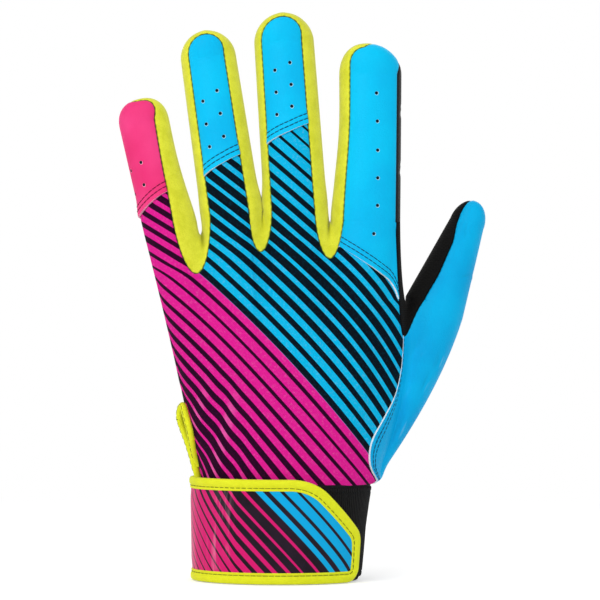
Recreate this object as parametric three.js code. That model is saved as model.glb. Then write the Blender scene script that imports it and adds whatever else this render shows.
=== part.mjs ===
// A left-hand batting glove, filled out as if a hand were in it, with the fingers up.
// Millimetres. +Z runs up the fingers, -Y is the back of the hand and +X is the thumb side.
// The origin is the centre of the wrist opening, on the plane that the cuff stands on.

import * as THREE from "three";

const degree = Math.PI / 180;
const turn = 360 * degree;

// Sheet thicknesses, and the clearance between sewn pieces
const panelWall = 1.1;
const cuffWall = 1.6;
const seamGap = 0.3;

// The wrist oval at the open end of the cuff, and where the cuff meets the hand
const openingHalfWidth = 29.6;
const openingHalfDepth = 22;
const wristHalfWidth = 32.9;
const wristHalfDepth = 23.5;
const wristShift = 2.8;
const cuffHeight = 36.5;

// The row of knuckles: the height of the middle finger's, and the row's shifts across and in depth
const knuckleHeight = 140.2;
const middleShift = 5.9;
const knuckleDepthShift = -0.5;

// How the four webs sit between the digits
const pinkyRingWeb = { gap: 2, drop: 19.2, rise: 14, leanLeftShare: 0.42, leanRightShare: 0 };
const ringMiddleWeb = { gap: 0.9, drop: 16, rise: 13, leanLeftShare: 0.15, leanRightShare: -0.05 };
const middleIndexWeb = { gap: 1.4, drop: 17.5, rise: 12.5, leanLeftShare: 0.25, leanRightShare: -0.1 };
const thumbWeb = { gap: 2.4, indexDrop: 34, thumbDrop: 22, indexRise: 15, thumbRise: 14.5, lean: 9 };

// Each digit: its length from the knuckle split, widths and depths, the lean from straight up, the curl
// of its tip towards the palm, and how far its knuckle lies below the middle finger's.
// A seam is a list of pairs: the way round the tip (0 is the thumb side, 90 the tip, 180 the
// little-finger side), and the angle there from the digit's side (90 is the middle of its back).
// The leather heights are those of the leather's lower edge at its two ends, and webFrontAngle is where
// the web's front edge starts if the front seam is elsewhere.
const pinky = {
  name: "pinky",
  length: 50.5,
  baseWidth: 20.4,
  tipWidth: 19.4,
  baseDepth: 18.6,
  tipDepth: 15.6,
  tipLength: 9.8,
  lean: 13.9,
  tilt: 0,
  curl: 3,
  knuckleDrop: 6.8,
  backSeam: [[0, 63], [90, 30], [122, -20], [180, -25]],
  frontSeam: [[0, -42], [90, -24], [122, -21], [180, -25]],
  baseSeamTurn: 17,
  leatherLeft: 7.5,
  leatherRight: 12.4,
};
const ring = {
  name: "ring",
  length: 71,
  baseWidth: 23.1,
  tipWidth: 21.1,
  baseDepth: 20.2,
  tipDepth: 16.8,
  tipLength: 10.6,
  lean: 8.5,
  tilt: 0,
  curl: 4.5,
  knuckleDrop: 1.9,
  backSeam: [[0, 53], [90, 40], [180, 45]],
  frontSeam: [[0, -48], [90, -40], [180, -48]],
  baseSeamTurn: 0,
  leatherLeft: 15.8,
  leatherRight: 22.2,
};
const middle = {
  name: "middle",
  length: 75.4,
  baseWidth: 24.1,
  tipWidth: 22.8,
  baseDepth: 20.8,
  tipDepth: 17.4,
  tipLength: 11.6,
  lean: 4,
  tilt: 0,
  curl: 5,
  knuckleDrop: 0,
  backSeam: [[0, 53], [90, 40], [180, 40]],
  frontSeam: [[0, -48], [90, -40], [180, -48]],
  baseSeamTurn: 0,
  leatherLeft: 25.5,
  leatherRight: 32.3,
};
const index = {
  name: "index",
  length: 67.7,
  baseWidth: 26.3,
  tipWidth: 24.2,
  baseDepth: 21.4,
  tipDepth: 17.8,
  tipLength: 12,
  lean: -1.7,
  tilt: 0,
  curl: 4.5,
  knuckleDrop: 4.2,
  backSeam: [[0, 29], [35, -4], [72, -4], [100, 38], [180, 48]],
  frontSeam: [[0, 29], [35, -4], [72, -4], [100, -36], [180, -48]],
  baseSeamTurn: 0,
  webFrontAngle: -38,
};
const thumb = {
  name: "thumb",
  length: 44.2,
  baseWidth: 23.4,
  tipWidth: 14.8,
  baseDepth: 21.6,
  tipDepth: 15,
  tipLength: 9,
  lean: -21.8,
  tilt: 8,
  curl: 1.5,
  knuckleDrop: 37,
  palmShift: 9,
  backSeam: [[0, -32], [58, -24], [85, 0], [140, 62], [180, 72]],
  frontSeam: [[0, -32], [60, -26], [85, -22], [140, -34], [180, -42]],
  baseSeamTurn: 0,
};
const digits = [pinky, ring, middle, index, thumb];
const tipBluntness = 1.5;

// How the hand's skin swells or draws in between the wrist and the knuckles
const ulnarDrawIn = 0.6;
const thumbSideBulge = 3;
const backBulge = 2.2;
const thumbMound = 7;
const heelMound = 4;
const webBackShare = 1.24;

// The slit on the little-finger side that lets the hand in, and its edge binding
const ventWidth = 1.6;
const ventHeight = 66.5;
const ventBindingDiameter = 2.4;
const ventFlare = 3.6;
const ventEdgeSpread = 3;

// The leather on the back of the hand. The shares are of the way along the curves of the webs.
const indexSeamStartShare = 0.7;
const indexSeamEndShare = 0.3;
const indexSeamBow = 6;
const thumbSeamShare = 0.625;
const thumbSeamBow = 13;

// The patch that guards the heel of the palm: its foot, its arched top, and how far its shoulders drop
const heelPatch = { foot: 40, top: 76, shoulderDrop: 12, wall: 0.9 };

// The wrist strap and what lies under it, each as its distance out from the cuff and its thickness
const strapHeight = 39;
const strapFoot = 0.3;
const loopPatch = { out: 0.3, wall: 0.6 };
const hookPatch = { out: 1.2, wall: 0.6 };
const strapLining = { out: 2.1, wall: 0.6 };
const strapFace = { out: 3, wall: 0.8 };
const strapBinding = { out: 3, wall: 1.2 };

// The strap's outline, laid flat from its hinge to its free end
const strapHingeAngle = 198;
const strapEndAngle = 28;
const chamferFoot = 16.5;
const chamferReach = 22;
const strapCornerRadius = 5;
const chamferCornerRadius = 9;
const bindingWidth = 4;
const anchorGap = 0.8;
const anchorEndAngle = 232;
const hookInset = 6;
const hookReach = 26;
const loopStartAngle = 76;
const loopEndAngle = 5;
const loopMargin = 1.5;

// Grid steps for the faceted skins
const steps = { across: 6, tip: 3, shaft: 4, side: 3, arc: 3, web: 8, rows: 8, cuff: 30, tube: 8 };

const lerp = THREE.MathUtils.lerp;
const clamp01 = (t) => THREE.MathUtils.clamp(t, 0, 1);
const ease = (t) => t * t * (3 - 2 * t);
const signedPower = (x, power) => Math.sign(x) * Math.abs(x) ** power;

// Reads a list of pairs, easing from one value to the next.
function alongPairs(pairs, at) {
  for (let i = 1; i < pairs.length; i++) {
    const [start, from] = pairs[i - 1];
    const [end, to] = pairs[i];
    if (at <= end) return lerp(from, to, ease(clamp01((at - start) / (end - start))));
  }
  return pairs[pairs.length - 1][1];
}

// Gives each digit its directions and the centre of its knuckle split.
function placeDigit(digit, centre) {
  const lean = digit.lean * degree;
  const tilt = digit.tilt * degree;
  digit.across = new THREE.Vector3(Math.cos(lean), 0, Math.sin(lean));
  digit.along = new THREE.Vector3(-Math.sin(lean), 0, Math.cos(lean));
  digit.along.multiplyScalar(Math.cos(tilt)).add(new THREE.Vector3(0, Math.sin(tilt), 0));
  digit.palmward = digit.along.clone().cross(digit.across);
  digit.centre = centre;
  digit.shaft = digit.length - digit.tipLength;
}

const reach = (digit) => (digit.baseWidth / 2) * Math.cos(digit.lean * degree);
const splitHeight = (digit) => knuckleHeight - digit.knuckleDrop;

function placeDigits() {
  const ringX = middleShift - reach(middle) - ringMiddleWeb.gap - reach(ring);
  const pinkyX = ringX - reach(ring) - pinkyRingWeb.gap - reach(pinky);
  const indexX = middleShift + reach(middle) + middleIndexWeb.gap + reach(index);
  const thumbX = indexX + reach(index) + thumbWeb.gap + reach(thumb);
  const row = [[pinky, pinkyX], [ring, ringX], [middle, middleShift], [index, indexX]];
  for (const [digit, x] of row) {
    placeDigit(digit, new THREE.Vector3(x, knuckleDepthShift, splitHeight(digit)));
  }
  placeDigit(thumb, new THREE.Vector3(thumbX, thumb.palmShift, splitHeight(thumb)));
}
placeDigits();

// A point of a digit's skin. along is the distance from the split, round the way round the tip,
// rise the angle from its side to its back, and depth how far under the outer surface.
function digitPoint(digit, along, round, rise, depth) {
  const t = clamp01(along / digit.shaft);
  const halfWidth = lerp(digit.baseWidth, digit.tipWidth, t) / 2 - depth;
  const halfDepth = lerp(digit.baseDepth, digit.tipDepth, t) / 2 - depth;
  const blunt = 2 + tipBluntness * Math.sin(round) ** 2;
  const out = signedPower(Math.cos(rise), 2 / blunt);
  const back = signedPower(Math.sin(rise), 2 / blunt);
  const centre = digit.centre.clone().addScaledVector(digit.along, along);
  centre.addScaledVector(digit.palmward, digit.curl * (along / digit.shaft) ** 2);
  return centre
    .addScaledVector(digit.across, halfWidth * Math.cos(round) * out)
    .addScaledVector(digit.along, (digit.tipLength - depth) * Math.sin(round) * out)
    .addScaledVector(digit.palmward, -halfDepth * back);
}

// The seam's angle at a place on a digit. Near the knuckle the thumb-side back seam turns further in.
function seamAngle(digit, pairs, along, round) {
  const turnIn = pairs === digit.backSeam ? digit.baseSeamTurn : 0;
  const nearBase = round < turn / 4 ? 1 - clamp01(along / digit.shaft) : 0;
  return (alongPairs(pairs, round / degree) + turnIn * nearBase) * degree;
}

// The angle that opens half the seam gap on a digit's skin.
const halfGapAngle = (digit) => seamGap / digit.tipWidth;

// The steps from the shaft to the tip's top, along the rim that a sheet shares with its neighbours.
const rimSteps = steps.tip + steps.across / 2;
function rimPlace(k) {
  const up = Math.min(1, k / steps.tip);
  const flat = k > steps.tip ? 1 - (k - steps.tip) / (steps.across / 2) : 1;
  return { flat: flat * Math.sqrt(1 - (up * up) / 2), up: up * Math.sqrt(1 - (flat * flat) / 2) };
}
const rimRound = (k) => Math.atan2(rimPlace(k).up, rimPlace(k).flat);

// The back or front sheet of a digit. flat runs across it and up over the tip, from -1 to 1.
function sheetPoint(digit, side, along, flat, up, depth) {
  const far = Math.hypot(flat, up);
  const round = Math.atan2(up, flat);
  const pairs = side > 0 ? digit.backSeam : digit.frontSeam;
  const edge = seamAngle(digit, pairs, along, round) + side * halfGapAngle(digit);
  const ridge = (side * turn) / 4;
  return digitPoint(digit, along, round, lerp(ridge, edge, far), depth);
}

// Closes the space between an outer and an inner sheet of points.
function sheetSolid(uSteps, vSteps, pointAt, outer, inner) {
  const points = [];
  const faces = [];
  const stride = vSteps + 1;
  const layer = (uSteps + 1) * stride;
  for (const depth of [outer, inner]) {
    for (let i = 0; i <= uSteps; i++) {
      for (let j = 0; j <= vSteps; j++) points.push(pointAt(i, j, depth));
    }
  }
  const quad = (a, b, c, d) => faces.push(a, b, c, a, c, d);
  for (let i = 0; i < uSteps; i++) {
    for (let j = 0; j < vSteps; j++) {
      const a = i * stride + j;
      const b = a + stride;
      quad(a, b, b + 1, a + 1);
      quad(layer + a, layer + a + 1, layer + b + 1, layer + b);
    }
  }
  const wallBetween = (a, b) => quad(b, a, layer + a, layer + b);
  for (let i = 0; i < uSteps; i++) {
    wallBetween(i * stride, (i + 1) * stride);
    wallBetween((i + 1) * stride + vSteps, i * stride + vSteps);
  }
  for (let j = 0; j < vSteps; j++) {
    wallBetween(j + 1, j);
    wallBetween(uSteps * stride + j, uSteps * stride + j + 1);
  }
  return outwardGeometry(points, faces);
}

// Joins a row of closed outlines into one solid with flat ends.
function sweptSolid(outlines) {
  const points = outlines.flat();
  const count = outlines[0].length;
  const faces = [];
  for (let i = 0; i + 1 < outlines.length; i++) {
    for (let j = 0; j < count; j++) {
      const a = i * count + j;
      const b = i * count + ((j + 1) % count);
      faces.push(a, b, b + count, a, b + count, a + count);
    }
  }
  const last = (outlines.length - 1) * count;
  for (let j = 1; j + 1 < count; j++) faces.push(0, j + 1, j, last, last + j, last + j + 1);
  return outwardGeometry(points, faces);
}

// Turns the faces round where they point inwards.
function outwardGeometry(points, faces) {
  let volume = 0;
  for (let i = 0; i < faces.length; i += 3) {
    const [a, b, c] = [points[faces[i]], points[faces[i + 1]], points[faces[i + 2]]];
    volume += a.dot(b.clone().cross(c));
  }
  const order = volume < 0 ? faces.slice().reverse() : faces;
  const geometry = new THREE.BufferGeometry().setFromPoints(points).setIndex(order);
  geometry.computeVertexNormals();
  return geometry;
}

const looks = {
  cyanLeather: { color: 0x08b0ee, roughness: 0.45, metalness: 0 },
  pinkLeather: { color: 0xf93c86, roughness: 0.45, metalness: 0 },
  printedFabric: { color: 0xb0287c, roughness: 0.8, metalness: 0 },
  yellowFabric: { color: 0xdfe02a, roughness: 0.85, metalness: 0 },
  blackFabric: { color: 0x141414, roughness: 0.85, metalness: 0 },
  blackLeather: { color: 0x191919, roughness: 0.55, metalness: 0 },
  printedStrap: { color: 0xd0206e, roughness: 0.35, metalness: 0 },
  yellowBinding: { color: 0xe6ee20, roughness: 0.7, metalness: 0 },
  blackNeoprene: { color: 0x17171a, roughness: 0.8, metalness: 0 },
  blackPatch: { color: 0x101012, roughness: 0.95, metalness: 0 },
};

const glove = new THREE.Group();

function addPiece(name, geometry, look) {
  const mesh = new THREE.Mesh(geometry, new THREE.MeshStandardMaterial(looks[look]));
  mesh.name = name;
  glove.add(mesh);
}

// The height of the edge between leather and fabric across the back of a finger.
const leatherEdge = (digit, p) => lerp(digit.leatherLeft, digit.leatherRight, (p + 1) / 2);
const splitFoot = () => seamGap / 2;
const leatherFoot = (digit) => (p) => leatherEdge(digit, p) + seamGap / 2;

// One sheet of a digit from a foot line up over the tip.
function tipSheet(digit, side, foot) {
  const pointAt = (i, j, depth) => {
    const p = (2 * i) / steps.across - 1;
    const along = lerp(foot(p), digit.shaft, Math.min(1, j / steps.shaft));
    const t = Math.max(0, j - steps.shaft) / steps.tip;
    const flat = p * Math.sqrt(1 - (t * t) / 2);
    return sheetPoint(digit, side, along, flat, t * Math.sqrt(1 - (p * p) / 2), depth);
  };
  return sheetSolid(steps.across, steps.shaft + steps.tip, pointAt, 0, panelWall);
}

// The printed fabric between the knuckle split and the leather.
function fabricSheet(digit) {
  const pointAt = (i, j, depth) => {
    const p = (2 * i) / steps.across - 1;
    const along = lerp(seamGap / 2, leatherEdge(digit, p) - seamGap / 2, j / steps.side);
    return sheetPoint(digit, 1, along, p, 0, depth);
  };
  return sheetSolid(steps.across, steps.side, pointAt, 0, panelWall);
}

// A side strip, from the knuckle split up one side and round the tip to its top or past it.
function sideStrip(digit, fromThumbSide, stepsPastTop) {
  const places = [];
  for (let j = 0; j < steps.shaft; j++) {
    places.push({ along: lerp(seamGap / 2, digit.shaft, j / steps.shaft), round: 0 });
  }
  for (let k = 0; k <= rimSteps + stepsPastTop; k++) {
    const round = k <= rimSteps ? rimRound(k) : turn / 2 - rimRound(2 * rimSteps - k);
    places.push({ along: digit.shaft, round });
  }
  if (stepsPastTop === 0) places[places.length - 1].round -= halfGapAngle(digit);
  const pointAt = (i, j, depth) => {
    const { along } = places[j];
    const round = fromThumbSide ? places[j].round : turn / 2 - places[j].round;
    const back = seamAngle(digit, digit.backSeam, along, round) - halfGapAngle(digit);
    const front = seamAngle(digit, digit.frontSeam, along, round) + halfGapAngle(digit);
    return digitPoint(digit, along, round, lerp(back, front, i / steps.side), depth);
  };
  return sheetSolid(steps.side, places.length - 1, pointAt, 0, panelWall);
}

function addDigits() {
  addPiece("pinky_back_leather", tipSheet(pinky, 1, leatherFoot(pinky)), "pinkLeather");
  addPiece("pinky_back_fabric", fabricSheet(pinky), "printedFabric");
  addPiece("pinky_inner_fourchette", sideStrip(pinky, true, 2), "yellowFabric");
  addPiece("pinky_front", tipSheet(pinky, -1, splitFoot), "blackLeather");
  for (const digit of [ring, middle]) {
    addPiece(`${digit.name}_back_leather`, tipSheet(digit, 1, leatherFoot(digit)), "cyanLeather");
    addPiece(`${digit.name}_back_fabric`, fabricSheet(digit), "printedFabric");
    addPiece(`${digit.name}_outer_fourchette`, sideStrip(digit, false, 0), "yellowFabric");
    addPiece(`${digit.name}_inner_fourchette`, sideStrip(digit, true, 0), "yellowFabric");
    addPiece(`${digit.name}_front`, tipSheet(digit, -1, splitFoot), "blackLeather");
  }
  addPiece("index_back_leather", tipSheet(index, 1, splitFoot), "cyanLeather");
  addPiece("index_outer_fourchette", sideStrip(index, false, 1), "yellowFabric");
  addPiece("index_front", tipSheet(index, -1, splitFoot), "blackLeather");
  addPiece("thumb_back_leather", tipSheet(thumb, 1, splitFoot), "cyanLeather");
  addPiece("thumb_inner_gusset", sideStrip(thumb, false, 2), "blackFabric");
  addPiece("thumb_front", tipSheet(thumb, -1, splitFoot), "blackLeather");
}
addDigits();

// A point of a digit's knuckle split, at an angle from its thumb side over its back.
function splitPoint(digit, angle, depth) {
  const signed = angle > turn / 2 ? angle - turn : angle;
  const onLeft = Math.abs(signed) > turn / 4;
  const rise = onLeft ? Math.sign(signed) * (turn / 2) - signed : signed;
  return digitPoint(digit, -seamGap / 2, onLeft ? turn / 2 : 0, rise, depth);
}

// The seam angles at a digit's knuckle split, from its thumb side over its back.
function splitSeams(digit) {
  return {
    rightBack: seamAngle(digit, digit.backSeam, 0, 0),
    leftBack: turn / 2 - seamAngle(digit, digit.backSeam, 0, turn / 2),
    rightFront: (digit.webFrontAngle ?? digit.frontSeam[0][1]) * degree,
    leftFront: -turn / 2 - seamAngle(digit, digit.frontSeam, 0, turn / 2),
  };
}

// A cubic's lowest point lies three quarters of the way down to its inner points.
const cubicDrop = (drop) => drop / 0.75;

// A point of the web between two digits. u runs from the left digit to the right one, and v from the
// back seam over the saddle to the front seam.
function webPoint(left, right, web, u, v, depth) {
  const leftSeams = splitSeams(left);
  const rightSeams = splitSeams(right);
  const start = splitPoint(left, lerp(leftSeams.rightBack, leftSeams.rightFront, v), depth);
  const leftFront = rightSeams.leftFront + turn;
  const end = splitPoint(right, lerp(rightSeams.leftBack, leftFront, v), depth);
  const saddle = 1 - (2 * v - 1) ** 2;
  const wide = web === thumbWeb;
  const leftDrop = wide ? web.indexDrop - web.indexRise * saddle : web.drop - web.rise * saddle;
  const rightDrop = wide ? web.thumbDrop - web.thumbRise * saddle : web.drop - web.rise * saddle;
  const span = end.x - start.x;
  const leftPull = wide ? 0 : web.leanLeftShare * span;
  const rightPull = wide ? -web.lean * (1 - saddle) : web.leanRightShare * span;
  const deeper = lerp(webBackShare, 1, saddle);
  const low = (from, pull, drop) => {
    const z = from.z - cubicDrop(drop + depth);
    return new THREE.Vector3(from.x + pull, from.y * deeper, z);
  };
  const a = low(start, leftPull, leftDrop);
  const b = low(end, rightPull, rightDrop);
  return new THREE.CubicBezierCurve3(start, a, b, end).getPoint(u);
}

const webs = [
  ["pinky_ring_web", pinky, ring, pinkyRingWeb],
  ["ring_middle_web", ring, middle, ringMiddleWeb],
  ["middle_index_web", middle, index, middleIndexWeb],
  ["thumb_web", index, thumb, thumbWeb],
];

// The ring of curves that the hand's skin rises to: over the backs of the digits from the little
// finger to the thumb, and back over their fronts. wristEnd is the angle round the wrist oval, from
// its thumb side over its back, that the end of each curve stands above.
const ringCurves = [];

function addRingCurves() {
  const arc = (digit, from, to, wristEnd) => {
    const curve = (t, depth) => splitPoint(digit, lerp(from, to, t), depth);
    ringCurves.push({ wristEnd, curve, count: steps.arc, from, to });
  };
  const web = (place, from, to, v, wristEnd) => {
    const [, left, right, shape] = webs[place];
    const curve = (t, depth) => webPoint(left, right, shape, lerp(from, to, t), v, depth);
    const count = Math.round(steps.web * Math.abs(to - from));
    ringCurves.push({ wristEnd, curve, count, from, to });
  };
  const seams = digits.map(splitSeams);
  arc(pinky, turn / 2, seams[0].rightBack, 143);
  web(0, 0, 1, 0, 128);
  arc(ring, seams[1].leftBack, seams[1].rightBack, 108);
  web(1, 0, 1, 0, 101);
  arc(middle, seams[2].leftBack, seams[2].rightBack, 78);
  web(2, 0, 1, 0, 70);
  arc(index, seams[3].leftBack, seams[3].rightBack, 44);
  web(3, 0, thumbSeamShare, 0, 9);
  web(3, thumbSeamShare, 1, 0, 5);
  arc(thumb, seams[4].leftBack, 0, 0);
  arc(thumb, 0, seams[4].leftFront, -35);
  web(3, 1, 0, 1, -54);
  arc(index, seams[3].rightFront, seams[3].leftFront, -76);
  web(2, 1, 0, 1, -82);
  arc(middle, seams[2].rightFront, seams[2].leftFront, -100);
  web(1, 1, 0, 1, -106);
  arc(ring, seams[1].rightFront, seams[1].leftFront, -127);
  web(0, 1, 0, 1, -140);
  arc(pinky, seams[0].rightFront, -turn / 2, -180);
}
addRingCurves();

// Where each curve that a seam starts from stands in the list above.
const middleIndexCurve = 5;
const indexThumbCurve = 7;
const thumbSeamCurve = 8;
const thumbFrontCurve = 10;
const pinkyFrontCurve = 18;
const heelPatchStart = 14.5;
const heelPatchEnd = 18.25;
const lastColumn = ringCurves.length;
const columnOfAngle = (curve, angle) => {
  const { from, to } = ringCurves[curve];
  return curve + (angle - from) / (to - from);
};

// A point on the wrist oval at a height, an angle and a distance out from the cuff's surface.
function wristPoint(angle, height, out) {
  const t = height / cuffHeight;
  const halfWidth = lerp(openingHalfWidth, wristHalfWidth, t) + out;
  const halfDepth = lerp(openingHalfDepth, wristHalfDepth, t) + out;
  const x = wristShift * t + halfWidth * Math.cos(angle);
  return new THREE.Vector3(x, -halfDepth * Math.sin(angle), height);
}

// The angle round the wrist that a column stands above.
function wristAngle(column) {
  const wrapped = THREE.MathUtils.euclideanModulo(column, lastColumn);
  const at = Math.floor(wrapped);
  const start = at === 0 ? turn / 2 : ringCurves[at - 1].wristEnd * degree;
  return lerp(start, ringCurves[at].wristEnd * degree, wrapped - at);
}

// A point of the hand's skin. column counts along the ring's curves, and row runs from the wrist, 0,
// up to the ring, 1.
function handPoint(column, row, depth) {
  const wrapped = THREE.MathUtils.euclideanModulo(column, lastColumn);
  const at = Math.floor(wrapped);
  const angle = wristAngle(column);
  const low = wristPoint(angle, cuffHeight + seamGap, -depth);
  const point = low.lerp(ringCurves[at].curve(wrapped - at, depth), row);
  const swell = 4 * row * (1 - row);
  const radial = Math.cos(angle);
  point.x += swell * (radial < 0 ? ulnarDrawIn : thumbSideBulge) * radial ** 2;
  point.y -= Math.max(0, Math.sin(angle)) * backBulge * swell;
  point.y += palmSwell(angle / degree, row);
  return point;
}

// The mounds at the thumb's root and at the heel of the hand: the angle and row of each one's top,
// and how far it spreads.
const thumbMoundPlace = { angle: -42, angleSpread: 24, row: 0.42, rowSpread: 0.34 };
const heelMoundPlace = { angle: -142, angleSpread: 26, row: 0.38, rowSpread: 0.34 };

function palmSwell(angle, row) {
  const bell = (place) => {
    const wide = (angle - place.angle) / place.angleSpread;
    const high = (row - place.row) / place.rowSpread;
    return Math.exp(-wide * wide - high * high);
  };
  const mounds = thumbMound * bell(thumbMoundPlace) + heelMound * bell(heelMoundPlace);
  return mounds * Math.sin(Math.PI * row);
}

// How far one column, or one row, reaches over the skin.
const probe = 0.01;
function columnSize(column, row) {
  return handPoint(column + probe, row, 0).distanceTo(handPoint(column, row, 0)) / probe;
}
const halfGapColumns = (column, row) => seamGap / 2 / columnSize(column, row);

// The slit's edges part below its top, and close up to a seam above it.
const ulnarColumn = columnOfAngle(pinkyFrontCurve, -turn / 2 - pinky.backSeam[3][1] * degree);
const ventTopRow = (ventHeight - cuffHeight) / (splitHeight(pinky) - cuffHeight);

function ulnarEdge(row, side) {
  const open = (ventWidth / 2) * Math.sqrt(clamp01(1 - row / ventTopRow));
  const away = open / columnSize(ulnarColumn, row) + halfGapColumns(ulnarColumn, row);
  return ulnarColumn + side * away;
}

// The seam between the back panel and the thumb's leather bows towards the little finger.
const bowShape = (row) => Math.sin(Math.PI * Math.sqrt(clamp01(row))) ** 2;
function thumbSeamColumn(row, side) {
  const size = columnSize(thumbSeamCurve - 0.5, row);
  return thumbSeamCurve - (thumbSeamBow * bowShape(row)) / size + (side * seamGap) / 2 / size;
}

// The index leather's lower edge runs below the ring between two places on the web curves.
const indexSeamFrom = middleIndexCurve + indexSeamStartShare;
const indexSeamTo = indexThumbCurve + indexSeamEndShare / thumbSeamShare;

// How many half gaps to leave along a row at a column.
function rowsOfGap(column) {
  const height = handPoint(column, 1, 0).distanceTo(handPoint(column, 0, 0));
  return seamGap / 2 / height;
}

function indexSeamRow(column) {
  const t = clamp01((column - indexSeamFrom) / (indexSeamTo - indexSeamFrom));
  const from = handPoint(indexSeamFrom, 1, 0).z;
  const to = handPoint(indexSeamTo, 1, 0).z;
  const line = lerp(from, to, t) + indexSeamBow * Math.sin(Math.PI * t);
  return Math.min(1, rowAtHeight(column, line));
}

function backTopRow(column) {
  const inside = column > indexSeamFrom && column < indexSeamTo;
  return inside ? indexSeamRow(column) - rowsOfGap(column) : 1;
}

// Columns between two edges, at the ring's own steps, so that neighbours share the ring's corners.
function columnList(from, to) {
  const list = [from];
  for (let at = Math.floor(from); at < to; at++) {
    const { count } = ringCurves[THREE.MathUtils.euclideanModulo(at, lastColumn)];
    for (let i = 0; i < count; i++) {
      const column = at + i / count;
      if (column > from + 1 / steps.web / 2 && column < to - 1 / steps.web / 2) list.push(column);
    }
  }
  list.push(to);
  return list;
}

// A sheet of the hand between two edges, each a function of the row.
function handSheet(leftEdge, rightEdge, topRow) {
  const columns = columnList(leftEdge(1), rightEdge(1));
  const last = columns.length - 1;
  const columnAt = (i, row) => {
    const base = columns[i];
    const nearLeft = clamp01(1 - (base - columns[0]));
    const nearRight = clamp01(1 - (columns[last] - base));
    const shiftLeft = (leftEdge(row) - columns[0]) * nearLeft;
    return base + shiftLeft + (rightEdge(row) - columns[last]) * nearRight;
  };
  const pointAt = (i, j, depth) => {
    const row = topRow(columns[i]) * (j / steps.rows);
    return handPoint(columnAt(i, row), row, depth);
  };
  return sheetSolid(last, steps.rows, pointAt, 0, panelWall);
}

const thumbFrontColumn = columnOfAngle(thumbFrontCurve, thumb.backSeam[0][1] * degree);
const thumbFrontEdge = (row, side) => thumbFrontColumn + side * halfGapColumns(thumbFrontColumn, row);
const fullHeight = () => 1;

function addHand() {
  const backLeft = (row) => ulnarEdge(row, 1) - lastColumn;
  const backRight = (row) => thumbSeamColumn(row, -1);
  const thumbLeft = (row) => thumbSeamColumn(row, 1);
  const thumbRight = (row) => thumbFrontEdge(row, -1);
  const palmLeft = (row) => thumbFrontEdge(row, 1);
  const palmRight = (row) => ulnarEdge(row, -1);
  addPiece("back_panel", handSheet(backLeft, backRight, backTopRow), "printedFabric");
  addPiece("index_root_leather", indexRoot(), "cyanLeather");
  addPiece("thumb_root_leather", handSheet(thumbLeft, thumbRight, fullHeight), "cyanLeather");
  addPiece("palm_panel", handSheet(palmLeft, palmRight, fullHeight), "blackLeather");
  addPiece("heel_patch", heelPatchSheet(), "blackLeather");
}

// The leather below the index finger's split, down to its lower edge.
function indexRoot() {
  const columns = columnList(indexSeamFrom, indexSeamTo).slice(1, -1);
  const pointAt = (i, j, depth) => {
    const foot = indexSeamRow(columns[i]) + rowsOfGap(columns[i]);
    return handPoint(columns[i], lerp(foot, 1, j / steps.side), depth);
  };
  return sheetSolid(columns.length - 1, steps.side, pointAt, 0, panelWall);
}

// The row at which a column of the skin, without its swellings, passes a height.
function rowAtHeight(column, height) {
  const low = handPoint(column, 0, 0).z;
  return (height - low) / (handPoint(column, 1, 0).z - low);
}

// The heel patch lies on the palm below the ring and little fingers.
function heelPatchSheet() {
  const columns = columnList(heelPatchStart, heelPatchEnd);
  const angles = columns.map(wristAngle);
  const middleAngle = (angles[0] + angles[angles.length - 1]) / 2;
  const halfSpan = (angles[0] - angles[angles.length - 1]) / 2;
  const { foot, top, shoulderDrop, wall } = heelPatch;
  const pointAt = (i, j, depth) => {
    const edge = top - shoulderDrop * ((angles[i] - middleAngle) / halfSpan) ** 4;
    const height = lerp(foot, edge, j / steps.side);
    return handPoint(columns[i], rowAtHeight(columns[i], height), depth);
  };
  return sheetSolid(columns.length - 1, steps.side, pointAt, -seamGap - wall, -seamGap);
}
addHand();

function addWebs() {
  for (const [name, left, right, shape] of webs) {
    const pointAt = (i, j, depth) => {
      const edge = seamGap / left.baseDepth;
      const v = lerp(edge, 1 - edge, j / (2 * steps.side));
      return webPoint(left, right, shape, i / steps.web, v, depth);
    };
    const solid = sheetSolid(steps.web, 2 * steps.side, pointAt, 0, panelWall);
    addPiece(name, solid, shape === thumbWeb ? "blackFabric" : "yellowFabric");
  }
}
addWebs();

// The cuff, an open ring that the slit runs through.
const slitAngle = wristAngle(ulnarColumn);
function addCuff() {
  const half = (ventWidth + seamGap) / 2 / openingHalfDepth;
  const pointAt = (i, j, depth) => {
    const angle = lerp(slitAngle + half, slitAngle + turn - half, i / steps.cuff);
    return wristPoint(angle, (cuffHeight * j) / steps.side, -depth);
  };
  addPiece("cuff", sheetSolid(steps.cuff, steps.side, pointAt, 0, cuffWall), "blackNeoprene");
  const across = steps.cuff / 3;
  const patchPoint = (i, j, out) => {
    const angle = lerp(loopStartAngle, loopEndAngle, i / across) * degree;
    return wristPoint(angle, lerp(loopMargin, cuffHeight - loopMargin, j / steps.side), out);
  };
  const { out, wall } = loopPatch;
  addPiece("loop_patch", sheetSolid(across, steps.side, patchPoint, out + wall, out), "blackPatch");
}
addCuff();

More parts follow.
